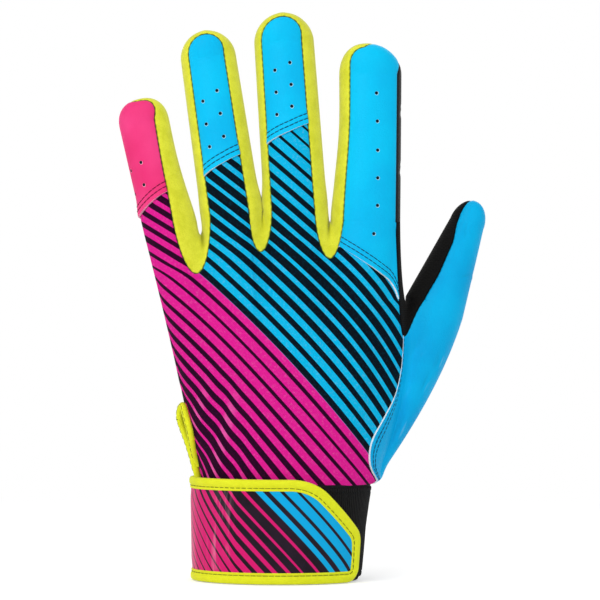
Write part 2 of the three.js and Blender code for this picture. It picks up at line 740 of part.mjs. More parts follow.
// The strap is laid flat to draw its outline. A flat place is its distance from the free end, along
// the cuff at mid height, and its height.
const flatSteps = 720;
const flatLengths = [0];
const flatPoint = (angle) => wristPoint(angle, strapHeight / 2, strapLining.out);
const flatAngle = (k) => (strapEndAngle + (k * 360) / flatSteps) * degree;
for (let k = 1; k <= flatSteps; k++) {
  const step = flatPoint(flatAngle(k)).distanceTo(flatPoint(flatAngle(k - 1)));
  flatLengths.push(flatLengths[k - 1] + step);
}
function angleOfLength(length) {
  const k = Math.max(1, flatLengths.findIndex((l) => l >= length));
  const t = (length - flatLengths[k - 1]) / (flatLengths[k] - flatLengths[k - 1]);
  return lerp(flatAngle(k - 1), flatAngle(k), t);
}
const lengthOfAngle = (angle) => flatLengths[Math.round(((angle - strapEndAngle) * flatSteps) / 360)];
const strapLength = lengthOfAngle(strapHingeAngle);
const strapTop = strapFoot + strapHeight;

// Rounds a corner of a flat outline, inset from it. Both neighbours are straight.
function roundedCorner(before, corner, after, radius, inset) {
  const toBefore = before.clone().sub(corner).normalize();
  const toAfter = after.clone().sub(corner).normalize();
  const half = Math.acos(toBefore.dot(toAfter)) / 2;
  const middleWay = toBefore.clone().add(toAfter).normalize();
  const centre = corner.clone().addScaledVector(middleWay, radius / Math.sin(half));
  const from = toBefore.clone().multiplyScalar(radius / Math.tan(half)).add(corner).sub(centre);
  const sweep = Math.PI - 2 * half;
  const points = [];
  for (let k = 0; k <= steps.side; k++) {
    const spoke = from.clone().rotateAround(new THREE.Vector2(), (sweep * k) / steps.side);
    points.push(spoke.multiplyScalar((radius - inset) / radius).add(centre));
  }
  return points;
}

// The strap's outline inset by some margin: along its foot from the hinge, up its free end and back
// along its top.
function strapOutline(inset) {
  const corner = (x, y) => new THREE.Vector2(x, y);
  const foot = corner(strapLength, strapFoot);
  const corners = [
    foot,
    corner(0, strapFoot),
    corner(0, strapFoot + chamferFoot),
    corner(chamferReach, strapTop),
    corner(strapLength, strapTop),
  ];
  const radii = [0, strapCornerRadius, chamferCornerRadius, chamferCornerRadius, 0];
  const points = [];
  const straight = (from, to, count) => {
    for (let k = 1; k < count; k++) points.push(from.clone().lerp(to, k / count));
  };
  const rounded = [1, 2, 3].map((k) => {
    const radius = Math.max(radii[k], inset + bindingWidth / 2);
    return roundedCorner(corners[k + 1], corners[k], corners[k - 1], radius, inset).reverse();
  });
  const long = steps.cuff / 2;
  points.push(corner(strapLength, strapFoot + inset));
  straight(points[0].clone(), rounded[0][0], long);
  points.push(...rounded[0], ...rounded[1]);
  straight(rounded[1][steps.side], rounded[2][0], steps.shaft);
  points.push(...rounded[2]);
  const end = corner(strapLength, strapTop - inset);
  straight(rounded[2][steps.side], end, long);
  points.push(end);
  return points;
}

// Finds where an outline's lower and upper runs stand at a distance from the free end.
function heightOn(run, length) {
  for (let k = 1; k < run.length; k++) {
    const [a, b] = [run[k - 1], run[k]];
    if ((a.x - length) * (b.x - length) <= 0 && a.x !== b.x) {
      return lerp(a.y, b.y, (length - a.x) / (b.x - a.x));
    }
  }
  return run[0].y;
}

const strapPoint = (length, height, out) => wristPoint(angleOfLength(length), height, out);

// A sheet of the strap inside an inset outline, up to some reach from the free end.
function strapSheet(inset, reachEnd, layer) {
  const outline = strapOutline(inset);
  const free = Math.min(...outline.map((p) => p.x));
  const lowRun = outline.slice(0, outline.findIndex((p) => p.x < free + 1e-6) + 1);
  const highRun = outline.slice(outline.findLastIndex((p) => p.x < free + 1e-6));
  const lengths = highRun.map((p) => p.x).filter((x) => x < reachEnd - bindingWidth / 4);
  lengths.push(...lowRun.map((p) => p.x).filter((x) => x < free + strapCornerRadius && x > free));
  lengths.push(reachEnd);
  lengths.sort((a, b) => a - b);
  const pointAt = (i, j, out) => {
    const low = heightOn(lowRun, lengths[i]);
    const high = heightOn(highRun, lengths[i]);
    return strapPoint(lengths[i], lerp(low, high, j / steps.side), out);
  };
  const { out, wall } = layer;
  return sheetSolid(lengths.length - 1, steps.side, pointAt, out + wall, out);
}

function addStrap() {
  const inner = strapOutline(bindingWidth);
  const { out, wall } = strapBinding;
  const sections = strapOutline(0).map((edge, k) => [
    strapPoint(edge.x, edge.y, out),
    strapPoint(edge.x, edge.y, out + wall),
    strapPoint(inner[k].x, inner[k].y, out + wall),
    strapPoint(inner[k].x, inner[k].y, out),
  ]);
  addPiece("strap_face", strapSheet(bindingWidth + seamGap, strapLength, strapFace), "printedStrap");
  addPiece("strap_lining", strapSheet(0, strapLength, strapLining), "blackNeoprene");
  addPiece("strap_binding", sweptSolid(sections), "yellowBinding");
  addPiece("hook_patch", strapSheet(hookInset, hookReach, hookPatch), "blackPatch");
  addAnchor();
}

// The fixed end of the strap, sewn to the cuff on the palm side of the hinge.
function addAnchor() {
  const start = lengthOfAngle(strapHingeAngle) + anchorGap;
  const across = 2 * steps.side;
  const end = lengthOfAngle(anchorEndAngle);
  const pointAt = (i, j, out) => {
    const height = lerp(strapFoot, strapTop, j / steps.side);
    return strapPoint(lerp(start, end, i / across), height, out);
  };
  const innerFace = loopPatch.out;
  const outerFace = strapFace.out + strapFace.wall;
  addPiece("strap_anchor", sheetSolid(across, steps.side, pointAt, outerFace, innerFace), "printedStrap");
}
addStrap();

// The binding round the slit above the strap: up the edge of the back, over the top and down the edge
// of the palm, which flares out.
function addVentBinding() {
  const radius = ventBindingDiameter / 2;
  const out = radius + seamGap;
  const rowOf = (height) => (height - cuffHeight) / (splitHeight(pinky) - cuffHeight);
  const topRow = rowOf(ventHeight);
  const lowRow = rowOf(strapTop + seamGap + radius);
  const path = [];
  for (let k = 0; k <= 4 * steps.side; k++) {
    const t = k / (4 * steps.side);
    const side = Math.cos(Math.PI * t);
    const rise = Math.sin(Math.PI * t);
    const row = lerp(lowRow, topRow, rise ** (1 / 2));
    const spread = ventEdgeSpread / columnSize(ulnarColumn, row);
    const flare = side < 0 ? ventFlare * rise * -side * 2 : 0;
    path.push(handPoint(ulnarColumn + side * spread, row, -out - flare));
  }
  const curve = new THREE.CatmullRomCurve3(path);
  const rings = curve.getSpacedPoints(8 * steps.side);
  const frames = curve.computeFrenetFrames(8 * steps.side);
  const sections = rings.map((centre, k) => {
    const section = [];
    for (let j = 0; j < steps.tube; j++) {
      const angle = (turn * j) / steps.tube;
      section.push(
        centre
          .clone()
          .addScaledVector(frames.normals[k], radius * Math.cos(angle))
          .addScaledVector(frames.binormals[k], radius * Math.sin(angle)),
      );
    }
    return section;
  });
  addPiece("vent_binding", sweptSolid(sections), "yellowBinding");
}
addVentBinding();

export default glove;
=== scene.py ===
# The looks of a left-hand batting glove. Sizes here are in millimetres until a mesh is made.
import math
from types import SimpleNamespace

import bpy
import numpy as np
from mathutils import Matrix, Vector, kdtree


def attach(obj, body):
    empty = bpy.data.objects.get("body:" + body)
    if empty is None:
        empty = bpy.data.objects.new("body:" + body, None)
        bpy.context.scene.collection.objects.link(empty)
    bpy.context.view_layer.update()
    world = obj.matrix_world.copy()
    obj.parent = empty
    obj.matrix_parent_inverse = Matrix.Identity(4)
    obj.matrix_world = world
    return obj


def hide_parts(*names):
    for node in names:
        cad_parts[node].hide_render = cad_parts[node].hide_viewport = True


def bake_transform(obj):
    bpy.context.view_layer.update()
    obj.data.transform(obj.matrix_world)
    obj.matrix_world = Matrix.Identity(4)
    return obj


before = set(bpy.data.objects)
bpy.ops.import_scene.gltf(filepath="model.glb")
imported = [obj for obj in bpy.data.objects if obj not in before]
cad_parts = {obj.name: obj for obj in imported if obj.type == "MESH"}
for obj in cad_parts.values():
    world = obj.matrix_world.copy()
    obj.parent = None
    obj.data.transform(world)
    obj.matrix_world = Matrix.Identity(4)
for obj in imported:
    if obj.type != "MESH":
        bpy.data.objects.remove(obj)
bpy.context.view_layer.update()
MM = 0.001
DEG = math.pi / 180
PI = math.pi

# ---------------------------------------------------------------- helpers


def lerp(a, b, t):
    return a + (b - a) * t


def clamp01(t):
    return np.clip(t, 0.0, 1.0)


def ease(t):
    t = clamp01(t)
    return t * t * (3 - 2 * t)


def spow(x, power):
    return np.sign(x) * np.abs(x) ** power


def unit(v):
    return v / np.maximum(np.linalg.norm(v, axis=-1, keepdims=True), 1e-9)


def bell(t):
    return np.exp(-t * t)


def along_pairs(pairs, at):
    """Reads a list of pairs, easing from one value to the next."""
    at = np.asarray(at, float)
    out = np.full(at.shape, float(pairs[-1][1]))
    for (start, a), (end, b) in reversed(list(zip(pairs, pairs[1:]))):
        out = np.where(at <= end, lerp(a, b, ease((at - start) / (end - start))), out)
    return out


def edged(length, step=1.1, fine=(0.12, 0.3, 0.6, 1.0), start=True, end=True):
    """Shares from 0 to 1 of a length, closer together near its ends."""
    low = [0.0, *fine] if start else [0.0]
    high = [length - f for f in reversed(fine)] + [length] if end else [length]
    count = max(2, round((high[0] - low[-1]) / step) + 1)
    middle = np.linspace(low[-1], high[0], count)[1:-1]
    return np.concatenate([low, middle, high]) / length


def run_along(line):
    """The distance along a line, at each of its points."""
    return np.concatenate([[0], np.cumsum(np.linalg.norm(np.diff(line, axis=0), axis=1))])


def read_line(at, run, line):
    """What a line holds at distances along it: its points, or directions that go with them."""
    return np.stack([np.interp(at, run, column) for column in line.T], axis=-1)


def with_outward(surface):
    """The points of surface(depth) at no depth, and the direction out of the skin at each."""
    flat = surface(0.0)
    return flat, unit(flat - surface(1.0))


def ring_turns(count):
    return np.arange(count) * 2 * PI / count


# ---------------------------------------------------------------- the glove's form

KNUCKLE = 140.2
OPENING = (29.6, 22.0)
WRIST = (32.9, 23.5)
WRIST_SHIFT = 2.8
CUFF_TOP = 36.5
WALL = 1.0
MIDDLE_X, FINGERS_Y = 5.9, -0.5


def make_digit(name, **sizes):
    d = SimpleNamespace(name=name, palm_shift=None, web_front=None, turn_in=0.0, tilt=0.0, square=2.0, tip_lean=0.0,
                        waist=(0.0, 0.0))
    d.__dict__.update(sizes)
    lean, tilt = d.lean * DEG, d.tilt * DEG
    d.across = np.array([math.cos(lean), 0, math.sin(lean)])
    d.up = np.array([-math.sin(lean) * math.cos(tilt), math.sin(tilt), math.cos(lean) * math.cos(tilt)])
    d.palm = np.cross(d.up, d.across)
    d.shaft = d.length - d.tip
    return d


PINKY = make_digit(
    "pinky", length=50.5, width=(20.4, 19.4), depth=(18.6, 15.6), tip=9.8, lean=13.9, curl=3.0, drop=6.8,
    back=[(0, 63), (90, 30), (122, -20), (180, -25)], front=[(0, -42), (90, -24), (122, -21), (180, -25)],
    turn_in=17.0, leather=(7.0, 13.4), square=2.4, waist=(0.0, 0.8))
RING = make_digit(
    "ring", length=71.0, width=(23.1, 21.1), depth=(20.2, 16.8), tip=10.6, lean=8.5, curl=4.5, drop=1.9,
    back=[(0, 53), (90, 40), (180, 45)], front=[(0, -48), (90, -40), (180, -48)], leather=(15.8, 22.2))
MIDDLE = make_digit(
    "middle", length=75.4, width=(24.1, 22.8), depth=(20.8, 17.4), tip=11.6, lean=4.0, curl=5.0, drop=0.0,
    back=[(0, 53), (90, 40), (180, 40)], front=[(0, -48), (90, -40), (180, -48)], leather=(25.5, 32.3))
INDEX = make_digit(
    "index", length=67.7, width=(26.3, 24.2), depth=(21.4, 17.8), tip=12.0, lean=-1.7, curl=4.5, drop=4.2,
    back=[(0, 29), (35, -4), (72, -4), (100, 38), (180, 48)],
    front=[(0, 29), (35, -4), (72, -4), (100, -36), (180, -48)], web_front=-38.0, square=2.12, tip_lean=-1.3,
    waist=(1.3, 0.0))
THUMB = make_digit(
    "thumb", length=44.2, width=(23.4, 13.5), depth=(21.6, 15.0), tip=9.0, lean=-21.8, tilt=8.0, curl=1.5, drop=37.0,
    back=[(0, -32), (58, -24), (85, -15), (103, 5), (118, 30), (132, 45), (150, 50.5), (188, 53.5)],
    front=[(0, -32), (60, -26), (85, -22), (140, -34), (180, -42)], palm_shift=9.0)
DIGITS = [PINKY, RING, MIDDLE, INDEX, THUMB]
# The webs between neighbours. For the left and the right end of the thumb's web, drops tells how deep it hangs at
# the back, the front and the saddle, and pulls how far it is drawn sideways at the back and the front.
WEB_SIZES = [
    dict(gap=2.0, drop=19.2, rise=14.0, lean=(0.42, 0.0), tuck=0.3),
    dict(gap=0.9, drop=15.0, rise=15.5, lean=(0.1, -0.05), tuck=0.0),
    dict(gap=1.4, drop=16.4, rise=14.0, lean=(0.12, -0.2), tuck=0.0),
    dict(gap=2.4, drops=((50, 34, 19), (7.5, 22, 7.5)), pulls=((2.3, 0), (-8.4, -12))),
]
THUMB_WEB = 3
THUMB_SEAM_RISE = [(0, 11.5), (0.35, 17), (0.68, 16.5), (1, 0)]


def half_width_across(d):
    return d.width[0] / 2 * math.cos(d.lean * DEG)


def place_digits():
    x = {MIDDLE.name: MIDDLE_X}
    for left, right, web in ((RING, MIDDLE, 1), (PINKY, RING, 0)):
        x[left.name] = x[right.name] - half_width_across(right) - WEB_SIZES[web]["gap"] - half_width_across(left)
    for left, right, web in ((MIDDLE, INDEX, 2), (INDEX, THUMB, THUMB_WEB)):
        x[right.name] = x[left.name] + half_width_across(left) + WEB_SIZES[web]["gap"] + half_width_across(right)
    for d in DIGITS:
        y = FINGERS_Y if d.palm_shift is None else d.palm_shift
        d.centre = np.array([x[d.name], y, KNUCKLE - d.drop])


place_digits()
BLUNTNESS = 1.5
WAIST_AT, WAIST_SPREAD = 0.62, 0.36


def digit_point(d, along, round_, rise, depth=0.0):
    """A point of a digit: along from its knuckle, round its tip from the thumb side, rise from side to back."""
    along, round_, rise, depth = np.broadcast_arrays(*(np.asarray(v, float) for v in (along, round_, rise, depth)))
    t = clamp01(along / d.shaft)
    half_w = lerp(d.width[0], d.width[1], t) / 2 - depth
    half_d = lerp(d.depth[0], d.depth[1], t) / 2 - depth
    blunt = 2 + BLUNTNESS * np.sin(round_) ** 2
    out = spow(np.cos(rise), 2 / blunt)
    back = spow(np.sin(rise), 2 / blunt)
    bend = d.curl * (np.maximum(along, 0) / d.shaft) ** 2
    waist = np.where(np.cos(round_) < 0, d.waist[0], d.waist[1])
    half_w = half_w - waist * bell((along / d.shaft - WAIST_AT) / WAIST_SPREAD)
    sideways = spow(np.cos(round_), 2 / d.square) * half_w * out
    upward = spow(np.sin(round_), 2 / d.square) * (d.tip - depth) * out
    sideways = sideways + d.tip_lean * clamp01(upward / d.tip) ** 2
    return (
        d.centre
        + along[..., None] * d.up
        + bend[..., None] * d.palm
        + sideways[..., None] * d.across
        + upward[..., None] * d.up
        - (half_d * back)[..., None] * d.palm
    )


def seam_angle(d, side, along, round_):
    """The rise at which a digit's back (side 1) or front (side -1) ends."""
    round_, share = np.asarray(round_, float), clamp01(np.asarray(along, float) / d.shaft)
    if side < 0:
        return along_pairs(d.front, round_ / DEG) * DEG
    if d is THUMB:
        turned = sum(np.interp(round_ / DEG + k, *np.transpose(d.back)) for k in (-8, -4, 0, 4, 8)) / 5
        return (turned + np.where(round_ > PI / 2, along_pairs(THUMB_SEAM_RISE, share), 0)) * DEG
    return (along_pairs(d.back, round_ / DEG) + np.where(round_ < PI / 2, d.turn_in * (1 - share), 0)) * DEG


def split_point(d, angle, depth=0.0):
    """A point round a digit's foot, where the fingers part: 0 is the thumb side, a quarter turn the back."""
    angle = np.asarray(angle, float)
    signed = np.where(angle > PI, angle - 2 * PI, angle)
    on_left = np.abs(signed) > PI / 2
    rise = np.where(on_left, np.sign(signed) * PI - signed, signed)
    return digit_point(d, 0.0, np.where(on_left, PI, 0.0), rise, depth)


def split_seams(d):
    right_front = d.front[0][1] if d.web_front is None else d.web_front
    return SimpleNamespace(
        right_back=float(seam_angle(d, 1, 0.0, 0.0)),
        left_back=PI - float(seam_angle(d, 1, 0.0, PI)),
        right_front=right_front * DEG,
        left_front=-PI - float(seam_angle(d, -1, 0.0, PI)),
    )


SEAMS = [split_seams(d) for d in DIGITS]
WEB_DEEPER = 1.24
# A cubic curve hangs down by this share of what its two inner points do.
CURVE_HANG = 0.75


def web_point(place, u, v, depth=0.0):
    """A point of a web: u from the left digit to the right one, v from the back seam over to the front seam."""
    u, v = np.broadcast_arrays(np.asarray(u, float), np.asarray(v, float))
    web = WEB_SIZES[place]
    left, right = DIGITS[place], DIGITS[place + 1]
    start = split_point(left, lerp(SEAMS[place].right_back, SEAMS[place].right_front, v), depth)
    end = split_point(right, lerp(SEAMS[place + 1].left_back, SEAMS[place + 1].left_front + 2 * PI, v), depth)
    saddle = 1 - (2 * v - 1) ** 2
    span = end[..., 0] - start[..., 0]
    if place == THUMB_WEB:
        drops = [lerp(lerp(back, front, v), top, saddle) for back, front, top in web["drops"]]
        pulls = [lerp(back, front, v) * (1 - saddle) for back, front in web["pulls"]]
    else:
        drops = (web["drop"] - web["rise"] * saddle,) * 2
        pulls = ((web["lean"][0] + web["tuck"] * saddle) * span, (web["lean"][1] + web["tuck"] * saddle) * span)
    deeper = lerp(WEB_DEEPER, 1.0, saddle)
    lows = []
    for point, pull, drop in zip((start, end), pulls, drops):
        low = point.copy()
        low[..., 0] += pull
        low[..., 1] *= deeper
        low[..., 2] -= (drop + depth) / CURVE_HANG
        lows.append(low)
    w = u[..., None]
    return (1 - w) ** 3 * start + 3 * (1 - w) ** 2 * w * lows[0] + 3 * (1 - w) * w * w * lows[1] + w ** 3 * end


# The curves round the knuckles, from the outer side of the little finger over the back and round to the palm. Each
# has a number, so a column of the hand is a number with a part after the point. THUMB_SHARE is where the thumb's
# web is split in two.
THUMB_SHARE = 0.47
RING_CURVES = []


def add_ring_curves():
    def arc(place, start, end, wrist_end):
        d = DIGITS[place]
        RING_CURVES.append(SimpleNamespace(
            curve=lambda t, depth: split_point(d, lerp(start, end, t), depth),
            up=lambda t: np.broadcast_to(d.up, t.shape + (3,)), start=start, end=end, wrist=wrist_end, count=14))

    def web(place, start, end, v, wrist_end, count=14):
        left, right = DIGITS[place], DIGITS[place + 1]
        RING_CURVES.append(SimpleNamespace(
            curve=lambda t, depth: web_point(place, lerp(start, end, t), v, depth),
            up=lambda t: unit(lerp(left.up, right.up, lerp(start, end, t)[..., None])),
            start=start, end=end, wrist=wrist_end, count=count))

    s = SEAMS
    arc(0, PI, s[0].right_back, 143)
    web(0, 0, 1, 0, 128)
    arc(1, s[1].left_back, s[1].right_back, 108)
    web(1, 0, 1, 0, 101)
    arc(2, s[2].left_back, s[2].right_back, 78)
    web(2, 0, 1, 0, 70)
    arc(3, s[3].left_back, s[3].right_back, 44)
    web(3, 0, THUMB_SHARE, 0, 9, 26)
    web(3, THUMB_SHARE, 1, 0, 5, 12)
    arc(4, s[4].left_back, 0, 0)
    arc(4, 0, s[4].left_front, -35)
    web(3, 1, 0, 1, -54, 26)
    arc(3, s[3].right_front, s[3].left_front, -76)
    web(2, 1, 0, 1, -82)
    arc(2, s[2].right_front, s[2].left_front, -100)
    web(1, 1, 0, 1, -106)
    arc(1, s[1].right_front, s[1].left_front, -127)
    web(0, 1, 0, 1, -140)
    arc(0, s[0].right_front, -PI, -180)


add_ring_curves()
COLUMNS = len(RING_CURVES)
WRIST_ENDS = np.array([180.0] + [c.wrist for c in RING_CURVES])


def column_of(curve, angle):
    c = RING_CURVES[curve]
    return curve + (angle - c.start) / (c.end - c.start)


def wrist_point(angle, height, out=0.0):
    angle, height, out = np.broadcast_arrays(*(np.asarray(v, float) for v in (angle, height, out)))
    t = height / CUFF_TOP
    half_w = lerp(OPENING[0], WRIST[0], t) + out
    half_d = lerp(OPENING[1], WRIST[1], t) + out
    return np.stack([WRIST_SHIFT * t + half_w * np.cos(angle), -half_d * np.sin(angle), height], axis=-1)


def curve_at(column):
    """The number of the curve that a column crosses, and the share of it that lies before."""
    wrapped = np.mod(column, COLUMNS)
    at = np.minimum(np.floor(wrapped).astype(int), COLUMNS - 1)
    return at, wrapped - at


def wrist_angle(column):
    at, share = curve_at(column)
    return lerp(WRIST_ENDS[at], WRIST_ENDS[at + 1], share) * DEG


def ring_point(column, depth):
    """Where each column ends at the knuckles, and which way the skin runs on from there."""
    at, share = curve_at(column)
    points = np.zeros(share.shape + (3,))
    ups = np.zeros(share.shape + (3,))
    for k, c in enumerate(RING_CURVES):
        mask = at == k
        if mask.any():
            t = share[mask]
            points[mask] = c.curve(t, depth)
            ups[mask] = c.up(t)
    return points, ups


# The two pads of the palm: height, place in degrees round the wrist, half width in degrees, row.
PALM_PADS = [(7.0, -42, 24, 0.42), (4.0, -142, 26, 0.38)]
PAD_ROWS = 0.34


def palm_swell(angle, row):
    pads = sum(high * bell((angle - at) / wide) * bell((row - middle) / PAD_ROWS)
               for high, at, wide, middle in PALM_PADS)
    return pads * np.sin(PI * clamp01(row))


# How strongly the hand turns into its digits, and how far its back, its little-finger side and its thumb side swell.
END_TURN, END_TURN_SIDEWAYS = 0.7, 0.35
BACK_SWELL, OUTER_SWELL, THUMB_SWELL = 2.8, 0.6, 3.0
CUFF_BULGE = 1.5
# The ridges over the knuckles of the fingers: degrees round the wrist, height, y.
CRESTS = [(57, 136.0, -11.2), (89.5, 140.2, -10.9), (118, 138.3, -10.6), (161, 133.4, -9.8)]


def back_fill(column, row, angle):
    """Fills the furrows that would run down the back of the hand from between the fingers."""
    top = ring_point(column, 0.0)[0]
    degrees, rise = angle / DEG, np.maximum(0, np.sin(angle))
    turns, heights, fronts = np.transpose(CRESTS)
    share = row * (top[..., 2] - CUFF_TOP) / (np.interp(degrees, turns, heights) - CUFF_TOP)

    def front(t, y):
        low = -WRIST[1] * rise
        return low + (y - low) * (t + END_TURN * (t * t - t ** 3)) - 4 * BACK_SWELL * t * (1 - t) * rise

    gap = np.minimum(0, front(clamp01(share), np.interp(degrees, turns, fronts)) - front(row, top[..., 1]))
    return gap * ease((degrees - 44) / 16) * ease((168 - degrees) / 20) * (1 - ease((row - 0.5) / 0.5))


def hand_point(column, row, depth=0.0):
    """A point of the hand's skin: column along the ring of curves at the knuckles, row up from the wrist."""
    column, row = np.broadcast_arrays(np.asarray(column, float), np.asarray(row, float))
    angle = wrist_angle(column)
    low = wrist_point(angle, CUFF_TOP, -depth)
    top, up = ring_point(column, depth)
    chord = top - low
    reach = np.linalg.norm(chord, axis=-1, keepdims=True)
    end_turn = (up * reach - chord) * END_TURN
    end_turn[..., 0] *= END_TURN_SIDEWAYS
    end_turn[..., 2] = 0
    r = row[..., None]
    point = low + chord * r + (r ** 3 - r ** 2) * end_turn
    swell = 4 * row * (1 - row)
    radial = np.cos(angle)
    point[..., 0] += swell * np.where(radial < 0, OUTER_SWELL, THUMB_SWELL) * radial ** 2
    point[..., 0] += CUFF_BULGE * np.maximum(radial, 0) ** 2 * ease(row / 0.02) * bell((row - 0.02) / 0.06)
    point[..., 1] -= np.maximum(0, np.sin(angle)) * BACK_SWELL * swell
    point[..., 1] += palm_swell(angle / DEG, row) + back_fill(column, row, angle)
    return point


def column_size(column, row, step=0.01):
    """How wide one column is over the skin."""
    return np.linalg.norm(hand_point(column + step, row) - hand_point(column, row), axis=-1) / step


def column_size_at(column, row):
    return float(column_size(np.array([column]), np.array([row]))[0])


# The seam on the little-finger side as a column, the height and the row at which the slit in it ends, how far the
# slit is shifted forward, and half its width.
ULNAR = column_of(18, -PI - PINKY.back[3][1] * DEG)
VENT_HEIGHT = 66.5
VENT_ROW = (VENT_HEIGHT - CUFF_TOP) / (PINKY.centre[2] - CUFF_TOP)
VENT_SHIFT, VENT_HALF = 6.5, 0.8


def ulnar_edge(row, side=0):
    """The seam on the little-finger side, which opens into the slit further down and lies further forward there."""
    shift = VENT_SHIFT * ease((VENT_ROW + 0.2 - row) / 0.2) + side * VENT_HALF * np.sqrt(clamp01(1 - row / VENT_ROW))
    return ULNAR + shift / column_size(np.full_like(row, ULNAR), row)


# The cut edge of the leather round the thumb's root: the column that it starts from, how far it bows out, and what is
# added to that in its upper half and taken off it lower down.
THUMB_EDGE = 8
THUMB_BOW, BOW_ABOVE, BOW_BELOW = 13, 1.9, 1.6


def thumb_seam(row, shift=0.0):
    """The cut edge of the leather round the thumb's root, as a column, moved by a distance over the skin."""
    size = column_size(np.full_like(row, THUMB_EDGE - 0.5), row)
    bow = THUMB_BOW * np.sin(PI * np.sqrt(clamp01(row))) ** 2
    bow = bow + BOW_ABOVE * ease((row - 0.45) / 0.4) - BOW_BELOW * bell((row - 0.31) / 0.13)
    return THUMB_EDGE - (bow - shift) / size


# The leather below the index finger: its first and last column, and the line (x, z) of its cut edge.
INDEX_FROM = 5.62
INDEX_TO = 7 + 0.165 / THUMB_SHARE
INDEX_EDGE = [(-60, 181), (23.2, 125.9), (29.1, 122.2), (34.6, 118.5), (38.9, 115.3), (40.7, 113.9),
              (42.2, 112.0), (43.4, 109.8), (44.6, 106.5), (46, 100)]
HALVINGS = 22


def index_seam_row(column):
    """The row at which each column crosses the cut edge of the leather below the index finger."""
    low, high = np.zeros_like(column), np.ones_like(column)
    for _ in range(HALVINGS):
        row = (low + high) / 2
        point = hand_point(column, row)
        above = point[..., 2] > np.interp(point[..., 0], *np.transpose(INDEX_EDGE))
        low, high = np.where(above, low, row), np.where(above, row, high)
    return high


THUMB_FRONT = column_of(10, THUMB.back[0][1] * DEG)

# ---------------------------------------------------------------- seams, as lines on the skin

SEAM_LINES = []


def add_seam(points):
    SEAM_LINES.append(np.asarray(points, float))


TIP_RADIUS = 11


def rim_path(d, from_thumb_side, end_degrees, step=0.7):
    """The places along a side strip, up the shaft and round the tip."""
    shaft = np.linspace(0, d.shaft, round(d.shaft / step) + 1)
    arc = np.linspace(0, end_degrees * DEG, round(end_degrees * DEG * TIP_RADIUS / step) + 1)[1:]
    along = np.concatenate([shaft, np.full(len(arc), d.shaft)])
    round_ = np.concatenate([np.zeros(len(shaft)), arc])
    return along, round_ if from_thumb_side else PI - round_


# The soft side strips: their digit, whether they lie on its thumb side, where they end round its tip in degrees,
# and their slot.
STRIPS = {
    "pinky_inner_fourchette": (PINKY, True, 124.0, "yellow_fabric"),
    "ring_outer_fourchette": (RING, False, 90.0, "yellow_fabric"),
    "ring_inner_fourchette": (RING, True, 90.0, "yellow_fabric"),
    "middle_outer_fourchette": (MIDDLE, False, 90.0, "yellow_fabric"),
    "middle_inner_fourchette": (MIDDLE, True, 90.0, "yellow_fabric"),
    "index_outer_fourchette": (INDEX, False, 109.0, "yellow_fabric"),
    "thumb_inner_gusset": (THUMB, False, 122.0, "black_fabric"),
}


def make_seams():
    for d, thumb_side, end, _ in STRIPS.values():
        along, round_ = rim_path(d, thumb_side, end, 0.4)
        for side in (1, -1):
            add_seam(digit_point(d, along, round_, seam_angle(d, side, along, round_)))
    # The seams between backs and fronts where no strip lies between them.
    for d, start, end in ((PINKY, 124, 180), (INDEX, 0, 72), (THUMB, 0, 59)):
        arc = np.linspace(start * DEG, end * DEG, 60)
        add_seam(digit_point(d, d.shaft, arc, seam_angle(d, 1, d.shaft, arc)))
        side = 0.0 if start == 0 else PI
        shaft = np.linspace(0, d.shaft, 90)
        add_seam(digit_point(d, shaft, side, seam_angle(d, 1, shaft, side)))
    u = np.linspace(0, 1, 90)
    for place in range(len(WEB_SIZES)):
        add_seam(web_point(place, u, 0.0))
        add_seam(web_point(place, u, 1.0))
    row = np.linspace(VENT_ROW, 1, 110)
    add_seam(hand_point(ulnar_edge(row), row))
    row = np.linspace(0, 1, 150)
    add_seam(hand_point(np.full_like(row, THUMB_FRONT), row))


make_seams()
SEAM_POINTS = np.concatenate(SEAM_LINES)
SEAM_RUN = np.concatenate([run_along(line) for line in SEAM_LINES])
SEAM_LAST = np.cumsum([len(line) for line in SEAM_LINES]) - 1
TREE = kdtree.KDTree(len(SEAM_POINTS))
for k, point in enumerate(SEAM_POINTS):
    TREE.insert(point, k)
TREE.balance()


def seam_distance(points):
    """How far each point lies from the nearest seam, and how far along that seam."""
    flat = points.reshape(-1, 3)
    nearest = np.array([TREE.find(p)[1] for p in flat])
    best = np.full(len(flat), 1e9)
    run = np.zeros(len(flat))
    last = np.isin(nearest, SEAM_LAST)
    first = np.isin(nearest, np.concatenate([[0], SEAM_LAST[:-1] + 1]))
    for a_shift, b_shift, closed in ((0, 1, last), (-1, 0, first)):
        ia = np.clip(nearest + a_shift, 0, len(SEAM_POINTS) - 1)
        ib = np.clip(nearest + b_shift, 0, len(SEAM_POINTS) - 1)
        a, b = SEAM_POINTS[ia], SEAM_POINTS[ib]
        ab = b - a
        t = clamp01(np.sum((flat - a) * ab, axis=1) / np.maximum(np.sum(ab * ab, axis=1), 1e-9))
        t = np.where(closed, 0.0 if a_shift == 0 else 1.0, t)
        far = np.linalg.norm(flat - a - ab * t[:, None], axis=1)
        better = far < best
        best = np.where(better, far, best)
        run = np.where(better, lerp(SEAM_RUN[ia], SEAM_RUN[ib], t), run)
    return best.reshape(points.shape[:-1]), run.reshape(points.shape[:-1])


# The dip at a seam, the rise of a lap and the drop of a tuck, with their widths; the height up to which a skin's
# inner side follows its outer one; and where the lower corner of a cut edge lies, beyond the skin's end and under it.
GROOVE, GROOVE_WIDTH = 0.62, 1.15
LAP, LAP_REACH = 0.75, 7.0
TUCK, TUCK_WIDTH, TUCK_FADE = 0.35, 3.0, 2.5
INNER_TOP = 0.2
CUT_BEYOND, CUT_DEPTH = 0.2, -0.12
CLEAR, FAR = 9.0, 50.0  # so far from any seam that folds, or shading, don't feel one
SIDES = ("u0", "u1", "v0", "v1")


